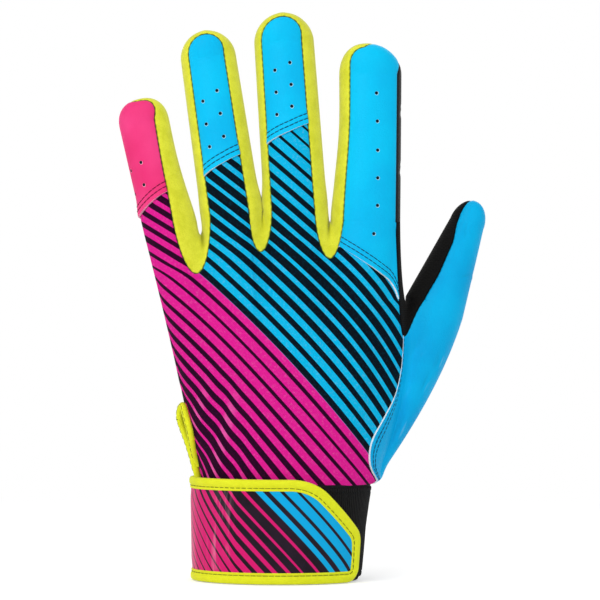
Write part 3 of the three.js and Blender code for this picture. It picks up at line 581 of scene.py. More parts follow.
def groove(far):
    """How far the skin dips towards a seam."""
    t = clamp01(far / GROOVE_WIDTH)
    return -GROOVE * (1 - np.sqrt(np.maximum(0, 1 - (1 - t) ** 2)))


# ---------------------------------------------------------------- meshes


def new_mesh(name, points, faces, materials, indices=None, smooth_angle=50.0, **layers):
    """A smooth-shaded object from points in millimetres, with its resting place kept for the materials."""
    mesh = bpy.data.meshes.new(name)
    points = np.asarray(points, float).reshape(-1, 3)
    mesh.from_pydata((points * MM).tolist(), [], [list(map(int, f)) for f in faces])
    for m in materials:
        mesh.materials.append(m)
    if indices is not None:
        mesh.polygons.foreach_set("material_index", np.asarray(indices, np.int32))
    for key, values in dict(place=points, **layers).items():
        values = np.asarray(values, np.float32)
        kind, field = ("FLOAT_VECTOR", "vector") if values.ndim == 2 else ("FLOAT", "value")
        mesh.attributes.new(key, kind, "POINT").data.foreach_set(field, values.ravel())
    mesh.validate()
    mesh.shade_smooth()
    mesh.set_sharp_from_angle(angle=smooth_angle * DEG)
    obj = bpy.data.objects.new(name, mesh)
    bpy.context.scene.collection.objects.link(obj)
    return obj


def grid_faces(n, m, start=0, flip=False):
    i, j = np.meshgrid(np.arange(n - 1), np.arange(m - 1), indexing="ij")
    a = (start + i * m + j).ravel()
    quads = np.stack([a, a + m, a + m + 1, a + 1], axis=1)
    return quads[:, ::-1] if flip else quads


def ring_faces(n, k):
    """The faces between n closed rings of k points each."""
    i, j = np.meshgrid(np.arange(n - 1), np.arange(k), indexing="ij")
    a, b = (i * k + j).ravel(), (i * k + (j + 1) % k).ravel()
    return np.stack([a, b, b + k, a + k], axis=1)


def shell(name, outer, inner, materials, rims=(0, 0, 0, 0), **layers):
    """Closes the space between two grids of points. rims gives the material of the walls at u0, u1, v0, v1."""
    n, m = outer.shape[:2]
    points = np.concatenate([outer.reshape(-1, 3), inner.reshape(-1, 3)])
    du = outer[1:, :-1] - outer[:-1, :-1]
    dv = outer[:-1, 1:] - outer[:-1, :-1]
    flip = np.sum(np.cross(du, dv) * (outer - inner)[:-1, :-1]) < 0
    lay = n * m
    faces = [grid_faces(n, m, 0, flip), grid_faces(n, m, lay, not flip)]
    index = [np.zeros((n - 1) * (m - 1), int), np.full((n - 1) * (m - 1), min(1, len(materials) - 1))]
    i, j = np.arange(n - 1), np.arange(m - 1)
    borders = [
        (j + 1, j, rims[0]),
        ((n - 1) * m + j, (n - 1) * m + j + 1, rims[1]),
        (i * m, (i + 1) * m, rims[2]),
        ((i + 1) * m + m - 1, i * m + m - 1, rims[3]),
    ]
    for a, b, rim in borders:
        quads = np.stack([b, a, a + lay, b + lay], axis=1)
        faces.append(quads[:, ::-1] if flip else quads)
        index.append(np.full(len(a), rim))
    both = {key: np.concatenate([values.reshape(lay, *values.shape[2:])] * 2) for key, values in layers.items()}
    return new_mesh(name, points, np.concatenate(faces), materials, np.concatenate(index), **both)


def reach_from(points, side):
    """The distance over the skin from one side of a grid."""
    axis = 0 if side[0] == "u" else 1
    step = np.linalg.norm(np.diff(points, axis=axis), axis=-1)
    zero = np.zeros_like(np.take(step, [0], axis=axis))
    if side[1] == "0":
        return np.concatenate([zero, np.cumsum(step, axis=axis)], axis=axis)
    back = np.flip(np.cumsum(np.flip(step, axis), axis=axis), axis)
    return np.concatenate([back, zero], axis=axis)


def skin_sheet(name, surface, materials, laps=(), tucks=(), extra=None, printed=None, shade=None, lap=LAP):
    """A sewn panel on surface(depth). It dips at the seams, lies over its neighbour along laps and under it along
    tucks. extra(flat, far) gives further heights, printed(flat) the place in the print, shade the folds' shading."""
    flat, out = with_outward(surface)
    far, run = seam_distance(flat)
    h = groove(far)
    for side in laps:
        h = h + lap * (1 - ease(reach_from(flat, side) / LAP_REACH))
    for side in tucks:
        h = h - TUCK * (1 - ease((reach_from(flat, side) - TUCK_WIDTH) / TUCK_FADE))
    if extra is not None:
        h = h + extra(flat, far)
    outer = flat + out * h[..., None]
    inner = flat + out * (np.minimum(h, INNER_TOP) - WALL)[..., None]
    rims = [0, 0, 0, 0]
    for side in laps:
        rims[SIDES.index(side)] = 2
        sel, beside = {"u0": (np.s_[0], np.s_[1]), "u1": (np.s_[-1], np.s_[-2]),
                       "v0": (np.s_[:, 0], np.s_[:, 1]), "v1": (np.s_[:, -1], np.s_[:, -2])}[side]
        inner[sel] = flat[sel] + unit(flat[sel] - flat[beside]) * CUT_BEYOND + out[sel] * CUT_DEPTH
    layers = dict(seam=far, run=run, shade=0 * far if shade is None else shade)
    if printed is not None:
        layers["print"] = printed(flat)
    return shell(name, outer, inner, materials, rims, **layers)


def sweep(name, sections, materials):
    """Joins outlines (n, k, 3) into one body with flat ends."""
    n, k = sections.shape[:2]
    faces = ring_faces(n, k)
    area = 0.0
    centre = sections.mean(axis=1)
    for q in range(k):
        e1 = sections[1:, q] - sections[:-1, q]
        e2 = sections[:-1, (q + 1) % k] - sections[:-1, q]
        area += np.sum(np.cross(e2, e1) * (sections[:-1, q] - centre[:-1]))
    first, last = list(range(k)), [(n - 1) * k + q for q in range(k)]
    if area > 0:
        faces = faces.tolist() + [first[::-1], last]
    else:
        faces = faces[:, ::-1].tolist() + [first, last[::-1]]
    return new_mesh(name, sections, faces, materials)


def resample(points, pitch):
    run = run_along(points)
    return read_line(np.linspace(0, run[-1], max(2, round(run[-1] / pitch) + 1)), run, points)


def smooth_line(points, count):
    """A smooth line through the points, with count steps between each two."""
    p = np.asarray(points, float)
    p = np.concatenate([2 * p[:1] - p[1:2], p, 2 * p[-1:] - p[-2:-1]])
    t = np.linspace(0, 1, count, endpoint=False)[:, None]
    lines = [0.5 * (2 * b + (c - a) * t + (2 * a - 5 * b + 4 * c - d) * t * t + (3 * b - a - 3 * c + d) * t ** 3)
             for a, b, c, d in zip(p, p[1:], p[2:], p[3:])]
    return np.concatenate(lines + [p[-2:-1]])


# A stitch is a short tube: where its rings lie along it, how wide they are and how high, as shares of its radius.
STITCH_AT = np.array([0.0, 0.1, 0.32, 0.68, 0.9, 1.0])
STITCH_WIDE = np.array([0.3, 0.8, 1.0, 1.0, 0.8, 0.3])
STITCH_HIGH = np.array([-1.4, -0.2, 0.35, 0.35, -0.2, -1.4])
STITCH_SIDES = 6


def stitches(name, rows, material, pitch=1.9, share=1.04, radius=0.17):
    """Short threads along rows of (points, outward directions)."""
    wide, high = STITCH_WIDE * radius, STITCH_HIGH * radius
    turn = ring_turns(STITCH_SIDES)
    ring = ring_faces(len(STITCH_AT), STITCH_SIDES)
    first = np.arange(STITCH_SIDES)
    last = first + (len(STITCH_AT) - 1) * STITCH_SIDES
    points, faces, start = [], [], 0
    for line, outs in rows:
        run = run_along(line)
        count = max(1, int(run[-1] / pitch))
        for k in range(count):
            at = (k + 0.5 * (1 - share) + STITCH_AT * share) * run[-1] / count
            centre = read_line(at, run, line)
            out = unit(read_line(at, run, outs))
            ahead = unit(np.gradient(centre, axis=0))
            side = unit(np.cross(ahead, out))
            centre = centre + out * high[:, None]
            body = (centre[:, None] + side[:, None] * (wide[:, None] * np.cos(turn))[..., None]
                    + out[:, None] * (wide[:, None] * np.sin(turn))[..., None]).reshape(-1, 3)
            points.append(body)
            faces += (ring + start).tolist()
            faces += [(first[::-1] + start).tolist(), (last + start).tolist()]
            start += len(body)
    return new_mesh(name, np.concatenate(points), faces, [material], smooth_angle=80.0)


# ---------------------------------------------------------------- materials


def srgb(r, g, b):
    """A colour picked as 0 to 255 on the screen."""
    linear = [c / 255 / 12.92 if c / 255 <= 0.04045 else ((c / 255 + 0.055) / 1.055) ** 2.4 for c in (r, g, b)]
    return (*linear, 1.0)


HIDDEN_STITCH = 2.4
WHITE = (1, 1, 1, 1)


class Nodes:
    """A material's nodes, with short calls for the few kinds that are used."""

    def __init__(self, name, roughness, specular, sheen=0.0, coat=0.0):
        self.material = bpy.data.materials.new(name)
        self.material.use_nodes = True
        self.tree = self.material.node_tree
        self.shader = self.tree.nodes["Principled BSDF"]
        for socket, value in (("Roughness", roughness), ("Specular IOR Level", specular), ("Sheen Weight", sheen),
                              ("Sheen Roughness", 0.4), ("Coat Weight", coat), ("Coat Roughness", 0.2)):
            self.shader.inputs[socket].default_value = value

    def put(self, socket, value):
        if isinstance(value, bpy.types.NodeSocket):
            self.tree.links.new(value, socket)
        elif value is not None:
            socket.default_value = value

    def add(self, kind, **settings):
        node = self.tree.nodes.new(kind)
        for key, value in settings.items():
            setattr(node, key, value)
        return node

    def attribute(self, name, output="Vector"):
        return self.add("ShaderNodeAttribute", attribute_name=name).outputs[output]

    def math(self, operation, a, b=None, c=None):
        node = self.add("ShaderNodeMath", operation=operation)
        for socket, value in zip(node.inputs, (a, b, c)):
            self.put(socket, value)
        return node.outputs[0]

    def parts(self, vector):
        node = self.add("ShaderNodeSeparateXYZ")
        self.put(node.inputs[0], vector)
        return node.outputs

    def stretch(self, vector, factors):
        node = self.add("ShaderNodeVectorMath", operation="MULTIPLY")
        self.put(node.inputs[0], vector)
        node.inputs[1].default_value = factors
        return node.outputs[0]

    def noise(self, vector, scale, detail, rough=0.5):
        node = self.add("ShaderNodeTexNoise")
        self.put(node.inputs["Vector"], vector)
        for socket, value in (("Scale", scale), ("Detail", detail), ("Roughness", rough)):
            node.inputs[socket].default_value = value
        return node.outputs["Fac"]

    def cells(self, vector, scale):
        node = self.add("ShaderNodeTexVoronoi")
        self.put(node.inputs["Vector"], vector)
        node.inputs["Scale"].default_value = scale
        return node.outputs["Distance"]

    def span(self, value, low, high, to_low=0.0, to_high=1.0, smooth=True):
        node = self.add("ShaderNodeMapRange", interpolation_type="SMOOTHSTEP" if smooth else "LINEAR")
        self.put(node.inputs["Value"], value)
        for socket, v in (("From Min", low), ("From Max", high), ("To Min", to_low), ("To Max", to_high)):
            self.put(node.inputs[socket], v)
        return node.outputs["Result"]

    def mix(self, factor, a, b):
        """Mixes two colours, whose sockets come after those for numbers and vectors."""
        node = self.add("ShaderNodeMix", data_type="RGBA")
        for socket, value in ((0, factor), (6, a), (7, b)):
            self.put(node.inputs[socket], value)
        return node.outputs[2]

    def steps(self, value, low, high, stops):
        """A curve through (place, value) stops between low and high."""
        node = self.add("ShaderNodeValToRGB")
        ramp = node.color_ramp
        self.put(node.inputs[0], self.span(value, low, high, smooth=False))
        for k, (at, v) in enumerate(stops):
            place = (at - low) / (high - low)
            element = ramp.elements[k] if k < 2 else ramp.elements.new(place)
            element.position = place
            element.color = (v, v, v, 1)
        return node.outputs[0]

    def wave(self, value, period):
        """A sine between 0 and 1."""
        angle = self.math("MULTIPLY", value, 2 * PI / period)
        return self.math("MULTIPLY_ADD", self.math("SINE", angle), 0.5, 0.5)

    def bump(self, height, distance):
        node = self.add("ShaderNodeBump")
        node.inputs["Strength"].default_value = 1.0
        node.inputs["Distance"].default_value = distance * MM
        self.put(node.inputs["Height"], height)
        return node.outputs[0]

    def seam_shade(self, colour, dark, reach=0.45):
        """Darkens a colour along the seams, deeper at each hidden stitch: partly the thread, partly painted shade."""
        far = self.attribute("seam", "Fac")
        run = self.attribute("run", "Fac")
        reach = self.math("ADD", self.math("MULTIPLY", self.wave(run, HIDDEN_STITCH), 0.5 * reach), 0.6 * reach)
        near = self.span(far, 0.05, reach, 1.0, 0.0)
        return self.mix(near, colour, dark)

    def done(self, colour, normal=None, roughness=None):
        self.put(self.shader.inputs["Base Color"], colour)
        self.put(self.shader.inputs["Normal"], normal)
        self.put(self.shader.inputs["Roughness"], roughness)
        return self.material


def leather(name, colour, shade, dark, roughness=0.46, specular=0.09, grain=0.05):
    """Smooth leather in two tones, thread and painted shade at its seams, painted highlight and shade at its folds.
    """
    n = Nodes(name, roughness, specular)
    place = n.attribute("place")
    cloud = n.noise(place, 0.045, 2.0)
    fine = n.noise(place, 1.4, 3.0, 0.6)
    base = n.mix(n.span(cloud, 0.35, 0.7), colour, shade)
    base = n.mix(n.span(fine, 0.55, 0.8, 0.0, 0.25), base, shade)
    # Thread and painted shade along the seams.
    base = n.seam_shade(base, dark, 0.58)
    # The folds' shade attribute paints a highlight on one side of each fold and shade on the other.
    fold = n.attribute("shade", "Fac")
    base = n.mix(n.span(fold, 0.18, 0.4, 0.0, 0.3), base, n.mix(0.35, colour, WHITE))
    base = n.mix(n.span(fold, 0.0, -0.4, 0.0, 0.3), base, n.mix(0.5, colour, dark))
    pores = n.cells(place, 1.25)
    height = n.math("ADD", n.math("MULTIPLY", n.noise(place, 0.5, 4.0, 0.6), 1.2), pores)
    rough = n.span(fine, 0.2, 0.8, roughness - 0.05, roughness + 0.08)
    return n.done(base, n.bump(height, grain), rough)


def suede(name, colour, shade, dark, roughness=0.92, sheen=0.15, seams=True):
    """Soft napped fabric in two tones, painted shade in its creases and, with seams, greenish along them."""
    n = Nodes(name, roughness, 0.08, sheen=sheen)
    place = n.attribute("place")
    nap = n.noise(place, 2.2, 3.0, 0.75)
    patch = n.noise(place, 0.22, 3.0, 0.55)
    base = n.mix(n.span(patch, 0.36, 0.68, 0.0, 0.45), colour, shade)
    base = n.mix(n.span(nap, 0.42, 0.72, 0.0, 0.5), base, shade)
    # Painted shade in the creases, from the shade attribute.
    base = n.mix(n.span(n.attribute("shade", "Fac"), 0.0, 1.0, 0.0, 0.85), base, dark)
    if seams:
        # Greenish thread and painted shade along the seams.
        base = n.seam_shade(base, srgb(58, 100, 44), 0.5)
    return n.done(base, n.bump(n.math("ADD", nap, patch), 0.22))


def knit(name, colour, shade, pitch, roughness=0.85, height=0.1, ribbed=False, dark=None):
    """A dark fabric with a fine weave or with upright ribs. dark is its thread and painted shade along seams, if any.
    """
    n = Nodes(name, roughness, 0.07, sheen=0.03)
    place = n.attribute("place")
    x, y, z = n.parts(place)
    around = n.math("ADD", x, n.math("MULTIPLY", y, 0.83))
    weave = n.wave(around, pitch)
    if not ribbed:
        weave = n.math("MULTIPLY", weave, n.wave(z, pitch))
    fuzz = n.noise(place, 1.3, 3.0, 0.7)
    base = n.mix(n.span(fuzz, 0.35, 0.8), colour, shade)
    base = n.mix(n.math("MULTIPLY", weave, 0.5), base, shade)
    if dark is not None:
        # Thread and painted shade along the seams.
        base = n.seam_shade(base, dark)
    return n.done(base, n.bump(n.math("ADD", weave, fuzz), height))


MAGENTA, CYAN_PRINT = srgb(234, 30, 153), srgb(2, 192, 243)
BLUE_EDGE = srgb(70, 150, 225)
# How wide each stripe is, as a share of the distance between two, by its number.
HAND_WIDTHS = [(-12, 0.667), (-11, 0.678), (-10, 0.667), (-9, 0.645), (-8, 0.579), (-7, 0.513), (-6, 0.469),
               (-5, 0.425), (-4, 0.359), (-3, 0.298), (-2, 0.244), (-1, 0.321), (0, 0.513), (1, 0.414), (2, 0.458),
               (3, 0.535), (4, 0.601), (5, 0.678), (6, 0.722), (7, 0.667), (8, 0.612), (9, 0.535), (10, 0.469),
               (11, 0.403), (12, 0.337), (13, 0.26), (14, 0.216), (15, 0.194)]
STRAP_WIDTHS = [(-14, 0.14), (-8, 0.16), (-7, 0.2), (-6, 0.28), (-5, 0.37), (-4, 0.5), (-3, 0.6), (-2, 0.68),
                (-1, 0.84), (0, 0.67), (1, 0.42), (2, 0.3), (3, 0.25), (8, 0.25)]


def striped(n, count, wide, nearest, soft=0.02):
    """How dark the ink is, from the number of stripes counted up to each place."""
    far = n.math("ABSOLUTE", n.math("SUBTRACT", count, nearest))
    half = n.math("MULTIPLY", wide, 0.5)
    return n.span(far, n.math("SUBTRACT", half, soft), n.math("ADD", half, soft), 1.0, 0.0)


def printed_fabric():
    """The stretch fabric of the back: magenta below the colour change and cyan above, with dark stripes."""
    n = Nodes("printed_stretch_fabric", 0.72, 0.05)
    knit_pitch = 0.75
    count, side, more = n.parts(n.attribute("print"))
    nearest = n.math("ROUND", count)
    ink = striped(n, count, n.math("ADD", n.steps(nearest, -12, 15, HAND_WIDTHS), more), nearest)
    inside = n.span(side, -0.15, 0.15)
    cyan = n.math("MULTIPLY", n.span(count, -0.285, -0.255), inside)
    sliver = n.math("MULTIPLY", cyan, n.span(count, -0.22, -0.18, 0.8, 0.0))
    colour = n.mix(sliver, n.mix(cyan, MAGENTA, CYAN_PRINT), BLUE_EDGE)
    dark = n.mix(cyan, srgb(36, 3, 34), srgb(3, 14, 25))
    place = n.attribute("place")
    x, y, z = n.parts(place)
    weave = n.math("MULTIPLY", n.wave(n.math("ADD", x, z), knit_pitch), n.wave(n.math("SUBTRACT", x, z), knit_pitch))
    speck = n.noise(place, 1.1, 3.0, 0.8)
    pale = n.mix(n.span(speck, 0.5, 0.8, 0.0, 0.3), colour, n.mix(0.5, colour, srgb(255, 215, 240)))
    # Painted highlights on the folds' crests, from their heights in the shade attribute.
    pale = n.mix(n.span(n.attribute("shade", "Fac"), 0.02, 0.3, 0.0, 0.2), pale, srgb(255, 170, 225))
    pale = n.mix(n.math("MULTIPLY", weave, 0.22), pale, n.mix(0.5, pale, dark))
    inked = n.mix(n.span(speck, 0.45, 0.8, 0.0, 0.4), dark, n.mix(0.12, dark, colour))
    # Thread and painted shade along the seams.
    base = n.seam_shade(n.mix(ink, pale, inked), srgb(8, 8, 14))
    return n.done(base, n.bump(n.math("ADD", weave, speck), 0.1))


def printed_strap():
    """The strap's smooth film, printed like the back, with streaks and a painted highlight of glare on its left."""
    n = Nodes("printed_strap_film", 0.3, 0.1, coat=0.03)
    count, high, _ = n.parts(n.attribute("print"))
    nearest = n.math("ROUND", count)
    left = n.math("LESS_THAN", nearest, -0.5)
    low = n.span(high, 5.0, 32.0, 1.0, -1.0, smooth=False)
    more = n.math("MULTIPLY", low, n.math("MULTIPLY_ADD", left, 0.03, 0.02))
    wide = n.math("MINIMUM", n.math("ADD", n.steps(nearest, -14, 8, STRAP_WIDTHS), more), 0.92)
    ink = striped(n, count, wide, nearest)
    place = n.attribute("place")
    cyan = n.span(count, -0.29, -0.25)
    sliver = n.math("MULTIPLY", cyan, n.span(count, -0.22, -0.18, 0.8, 0.0))
    colour = n.mix(sliver, n.mix(cyan, srgb(222, 24, 116), srgb(3, 176, 236)), BLUE_EDGE)
    cloud = n.noise(place, 0.12, 3.0)
    base = n.mix(ink, colour, n.mix(n.span(cloud, 0.3, 0.7), srgb(24, 12, 26), srgb(36, 20, 38)))
    x, _, _ = n.parts(place)
    # A painted highlight: pale glints in a band on the strap's left, where glare falls.
    glare_band = n.span(n.math("ABSOLUTE", n.math("ADD", x, 22.0)), 1.5, 6.5, 1.0, 0.0)
    glint = n.span(n.noise(n.stretch(place, (0.35, 0.35, 0.06)), 1.0, 3.0, 0.6), 0.5, 0.75, 0.0, 0.3)
    base = n.mix(n.math("MULTIPLY", glare_band, glint), base, srgb(255, 190, 215))
    streak = n.noise(n.stretch(place, (0.16, 0.16, 0.035)), 1.0, 3.0, 0.5)
    film = n.noise(place, 1.1, 2.0, 0.6)
    height = n.math("ADD", n.math("MULTIPLY", streak, 2.2), n.math("MULTIPLY", film, 0.2))
    return n.done(base, n.bump(height, 0.4))


def plain(name, colour, shade, roughness=0.7, scale=1.2, height=0.05, specular=0.15):
    n = Nodes(name, roughness, specular)
    speck = n.noise(n.attribute("place"), scale, 3.0, 0.65)
    return n.done(n.mix(n.span(speck, 0.35, 0.75), colour, shade), n.bump(speck, height))


CYAN = leather("cyan_leather_skin", srgb(0, 202, 252), srgb(0, 190, 245), srgb(0, 92, 108))
# A darker copy of the cyan leather for the thumb: painted shade, where the thumb turns away from the light.
SHADED_THUMB_CYAN = leather("thumb_leather_shaded", srgb(0, 187, 244), srgb(0, 172, 233), srgb(0, 84, 102))
PINK = leather("pink_leather_skin", srgb(250, 70, 140), srgb(240, 52, 122), srgb(120, 20, 50))
BLACK_LEATHER = leather("black_leather_skin", srgb(22, 22, 23), srgb(15, 15, 16), srgb(5, 5, 6), 0.5, 0.17, 0.12)
YELLOW = suede("yellow_suede", srgb(242, 243, 68), srgb(214, 216, 36), srgb(140, 142, 14), sheen=0.4)
PRINT = printed_fabric()
STRAP = printed_strap()
BINDING = suede("yellow_tape", srgb(243, 249, 46), srgb(230, 236, 32), srgb(120, 124, 10), 0.62, 0.1, seams=False)
BLACK_CLOTH = knit("black_gusset", srgb(14, 14, 14), srgb(24, 23, 22), 0.7, dark=srgb(3, 3, 3))
NEOPRENE = knit("cuff_neoprene", srgb(17, 17, 18), srgb(30, 30, 31), 0.9, 0.75, 0.07)
LOOPS = knit("loop_pile", srgb(16, 16, 17), srgb(34, 34, 34), 1.25, 0.95, 0.3, ribbed=True)
HOOKS = knit("hook_tape", srgb(14, 14, 15), srgb(26, 26, 26), 0.8, 0.7, 0.2)
RAW_EDGE = plain("raw_leather_edge", srgb(250, 253, 255), srgb(206, 234, 248), 0.9, 1.5)
# The pale rim of a cyan hole: the cut edge's colour, shown on one side as a painted highlight.
PALE_EDGE = plain("punched_edge", srgb(196, 234, 248), srgb(150, 216, 240), 0.9, 1.5)
RAW_PINK = plain("raw_pink_edge", srgb(255, 196, 216), srgb(245, 150, 185), 0.9, 1.5)
RAW_BLACK = plain("raw_black_edge", srgb(62, 60, 60), srgb(40, 39, 39), 0.9, 1.5)
LINING = plain("lining", srgb(38, 38, 40), srgb(28, 28, 30), 0.95, 0.9, 0.15)
BLUE_THREAD = plain("dark_blue_thread", srgb(4, 62, 104), srgb(2, 42, 78), 0.6, 3.0)
PLUM_THREAD = plain("plum_thread", srgb(118, 12, 50), srgb(92, 8, 40), 0.6, 3.0)
BLACK_THREAD = plain("black_thread", srgb(34, 34, 35), srgb(20, 20, 21), 0.5, 3.0, specular=0.3)
OLIVE_THREAD = plain("olive_thread", srgb(128, 130, 18), srgb(96, 98, 14), 0.6, 3.0)
# A dark disc stands for each hole: painted shade in place of its depth.
HOLE_SHADE = plain("punched_hole", srgb(6, 26, 40), srgb(3, 14, 24), 0.9, 2.0)

# ---------------------------------------------------------------- pieces of the digits

HAND = "hand"


def bend_with(obj, d):
    """Bakes the piece's place into its mesh."""
    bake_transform(obj)


def quarter_arc():
    """The run along a quarter of a flat oval, by its width."""
    turn = np.linspace(0, PI / 2, 200)
    step = np.hypot(np.diff(np.sin(turn)), 0.3 * np.diff(np.cos(turn)))
    return np.sin(turn), np.concatenate([[0], np.cumsum(step)])


ARC_SINE, ARC_RUN = quarter_arc()
# How far the hand reaches: to its little-finger side at one height, with the slope, and to its thumb side at each
# height.
OUTER_REACH, OUTER_HEIGHT, OUTER_SLOPE = 50.6, 130, 0.237
THUMB_SIDE = [(37, 36.8), (68, 55.4), (98, 69), (106, 45), (200, 45)]
# Coefficients of the stripe count over the hand: powers of the width first, then powers of the height.
STRIPE_COUNT = [
    (-1.30738, 5.87446, 0.00358, 0.03209, 0.11758), (7.05874, -0.85622, 0.02781, 0.4512),
    (-0.18682, 0.66291, -0.20677), (0.55059, -0.5666), (0.35641,)]
# The stripes on the little, ring and middle finger: where they start, how they lean and how far apart they are.
FINGER_STRIPES = [(161.61, 1.644, 7.629), (123.31, 1.301, 7.115), (106.45, 1.149, 6.628)]
OUTER_WEB_X = -31.5


def behind_edge(x):
    """Which points of a grid lie behind the one that is furthest to the little-finger side."""
    return np.arange(x.shape[0])[:, None] < np.argmin(x, axis=0)[None, :]


def unwrapped(flat):
    """How far each place lies across the print, which is wrapped round the hand from side to side."""
    x, z = flat[..., 0], flat[..., 2]
    half = np.where(x < MIDDLE_X, MIDDLE_X + OUTER_REACH - (OUTER_HEIGHT - z) * OUTER_SLOPE,
                    np.interp(z, *np.transpose(THUMB_SIDE)) - MIDDLE_X)
    t = np.abs(x - MIDDLE_X) / half
    run = np.interp(t, ARC_SINE, ARC_RUN) + np.maximum(0, t - 1)
    run = np.where(behind_edge(x), 2 * ARC_RUN[-1] - run, run)
    return MIDDLE_X + np.sign(x - MIDDLE_X) * half * run


def finger_count(x, z):
    """The stripe count on the printed part of each finger, straight across it."""
    pinky, ring, middle = ((x - start + lean * z) / apart for start, lean, apart in FINGER_STRIPES)
    return pinky, lerp(ring, middle, ease((x + 10.7) / 6.0))


def print_count(flat):
    """The print's own layout: stripes counted from the colour change, which side of the little finger's web, and
    how much wider the stripes are low on the left."""
    x, z = flat[..., 0], flat[..., 2]
    u, v = unwrapped(flat) / 45, (np.minimum(z, 126) - 80) / 40
    count = sum(c * u ** i * v ** j for i, row in enumerate(STRIPE_COUNT) for j, c in enumerate(row))
    pinky, others = finger_count(x, z)
    count = lerp(count, others, ease((z - 118) / 12) * ease((22 - x) / 6))
    count = lerp(count, pinky, ease((z - 113) / 7) * ease((-30.5 - x) / 2))
    wider = 0.07 * ease((-18 - x) / 10) * ease((78 - z) / 18)
    return np.stack([count + folds(flat)[0], x - OUTER_WEB_X, wider], axis=-1)


FOLD_APART, FOLD_STRIPES, FOLD_HEIGHT = 12.5, 0.07, 0.3


def folds(flat):
    """The fabric's folds above the cuff: how far each moves the print, in stripes, and its height."""
    x, z = flat[..., 0], flat[..., 2]
    low_left = ease((-8 - x) / 14) * ease((84 - z) / 22)
    phase = 2 * PI * (x - 0.3 * z) / FOLD_APART
    return low_left * FOLD_STRIPES * np.sin(phase), low_left * FOLD_HEIGHT * np.cos(phase)


def digit_print(d):
    """On a finger the stripes run on straight, over its edge too."""
    def printed(flat):
        x, z = flat[..., 0], flat[..., 2]
        x = np.where(behind_edge(x), 2 * x.min(axis=0)[None, :] - x, x)
        pinky, others = finger_count(x, z)
        return np.stack([pinky if d is PINKY else others, x - OUTER_WEB_X, 0 * z], axis=-1)

    return printed


SKIN_STEP = 1.15
# How much longer the skin over a digit, and over its tip, is than the digit is wide and its tip high.
OVER_WIDTH, OVER_TIP = 1.15, 1.25


def sheet_surface(d, side, p, shaft, foot):
    """The back or front of a digit over its shaft, from a foot line, and over its tip."""
    tip = edged(d.tip * OVER_TIP, 0.9, start=False)[1:]
    along = np.concatenate([foot[:, None] + (d.shaft - foot)[:, None] * shaft[None, :],
                            np.full((len(p), len(tip)), d.shaft)], axis=1)
    flat = np.concatenate([np.broadcast_to(p[:, None], (len(p), len(shaft))),
                           p[:, None] * np.sqrt(1 - tip[None, :] ** 2 / 2)], axis=1)
    up = np.concatenate([np.zeros((len(p), len(shaft))),
                         tip[None, :] * np.sqrt(1 - p[:, None] ** 2 / 2)], axis=1)
    far = np.hypot(flat, up)
    round_ = np.arctan2(up, flat)

    def surface(depth):
        edge = seam_angle(d, side, along, round_)
        return digit_point(d, along, round_, lerp(side * PI / 2, edge, far), depth)

    return surface


EDGE_BOW = 0.85


def leather_edge(d, p):
    """How far up a digit its cap's cut edge lies, from -1 to 1 across it. On the pinky it wraps round the side."""
    if d is PINKY:
        rise = lerp(PI / 2, seam_angle(d, 1, 10.0, np.where(p < 0, PI, 0.0)), np.abs(p))
        p = (np.sign(p) * np.where(rise > 0, np.cos(rise), 1 - rise * 0.3) + 0.4) / 0.6
    return lerp(d.leather[0], d.leather[1], (p + 1) / 2) + EDGE_BOW * (1 - p * p)


# The two rows of stitches, by their distance from a cut edge, the dents that they lie in, and the lower lap of the
# leather on the hand.
ROWS = (1.9, 3.75)
ROW_DENT, DENT_WIDTH = 0.14, 0.42
ROOT_LAP = 0.5


def row_dents(up):
    return -ROW_DENT * sum(bell((up - at) / DENT_WIDTH) for at in ROWS)


def cap_height(up, lap=LAP):
    """How far a cap stands proud at a distance above its cut edge."""
    return lap * (1 - ease(up / LAP_REACH)) + row_dents(up)


def cap_rows(d):
    """Shares of a cap's length, closer together near its cut edge and round its stitches."""
    near = np.array([0, 0.2, 0.5, 1.0, 1.4, 1.65, 1.9, 2.15, 2.4, 2.8, 3.2, 3.5, 3.75, 4.0, 4.25, 4.7, 5.4, 6.8])
    length = d.shaft - sum(d.leather) / 2
    count = round((length - near[-1]) / SKIN_STEP) + 1
    return np.concatenate([near, np.linspace(near[-1], length, count)[1:]]) / length


def row_grooves(flat, far):
    return row_dents(reach_from(flat, "v0"))


def stitch_row(surface, above, lap, lift, extra=None):
    """A row of stitches on lapped leather, above its cut edge: its points, and the directions out."""
    flat, out = with_outward(surface)
    far, _ = seam_distance(flat)
    high = cap_height(np.full(len(flat), above), lap) + groove(far) + lift
    if extra is not None:
        high = high + extra(flat, CLEAR)
    return flat + out * high[:, None], out


def cap_stitches(d):
    p = np.linspace(-0.955, 0.955, 60)
    round_ = np.where(p < 0, PI, 0.0)

    def row(above):
        along = leather_edge(d, p) + above
        rise = lerp(PI / 2, seam_angle(d, 1, along, round_), np.abs(p))
        return stitch_row(lambda depth: digit_point(d, along, round_, rise, depth), above, LAP, 0.04)

    return [row(above) for above in ROWS]


# The punched holes: across from the digit's middle, up from its knuckle.
HOLES = {
    "ring": [(1.6, 47.1), (-4.2, 43.9), (1.6, 38.3), (-4.2, 35.1), (1.6, 29.5), (-4.2, 26.4)],
    "middle": [(1.7, 55.6), (-4.1, 53.1), (1.6, 47.2), (-4.2, 44.7), (1.3, 38.9), (-4.5, 36.2)],
    "index": [(2.6, 48.3), (3.2, 37.6), (3.6, 26.6), (3.9, 16.1), (4.1, 5.7)],
    "pinky": [(-4.5, 26.4), (-5.4, 17.9), (-9.0, 24.4), (-9.6, 15.4)],
}
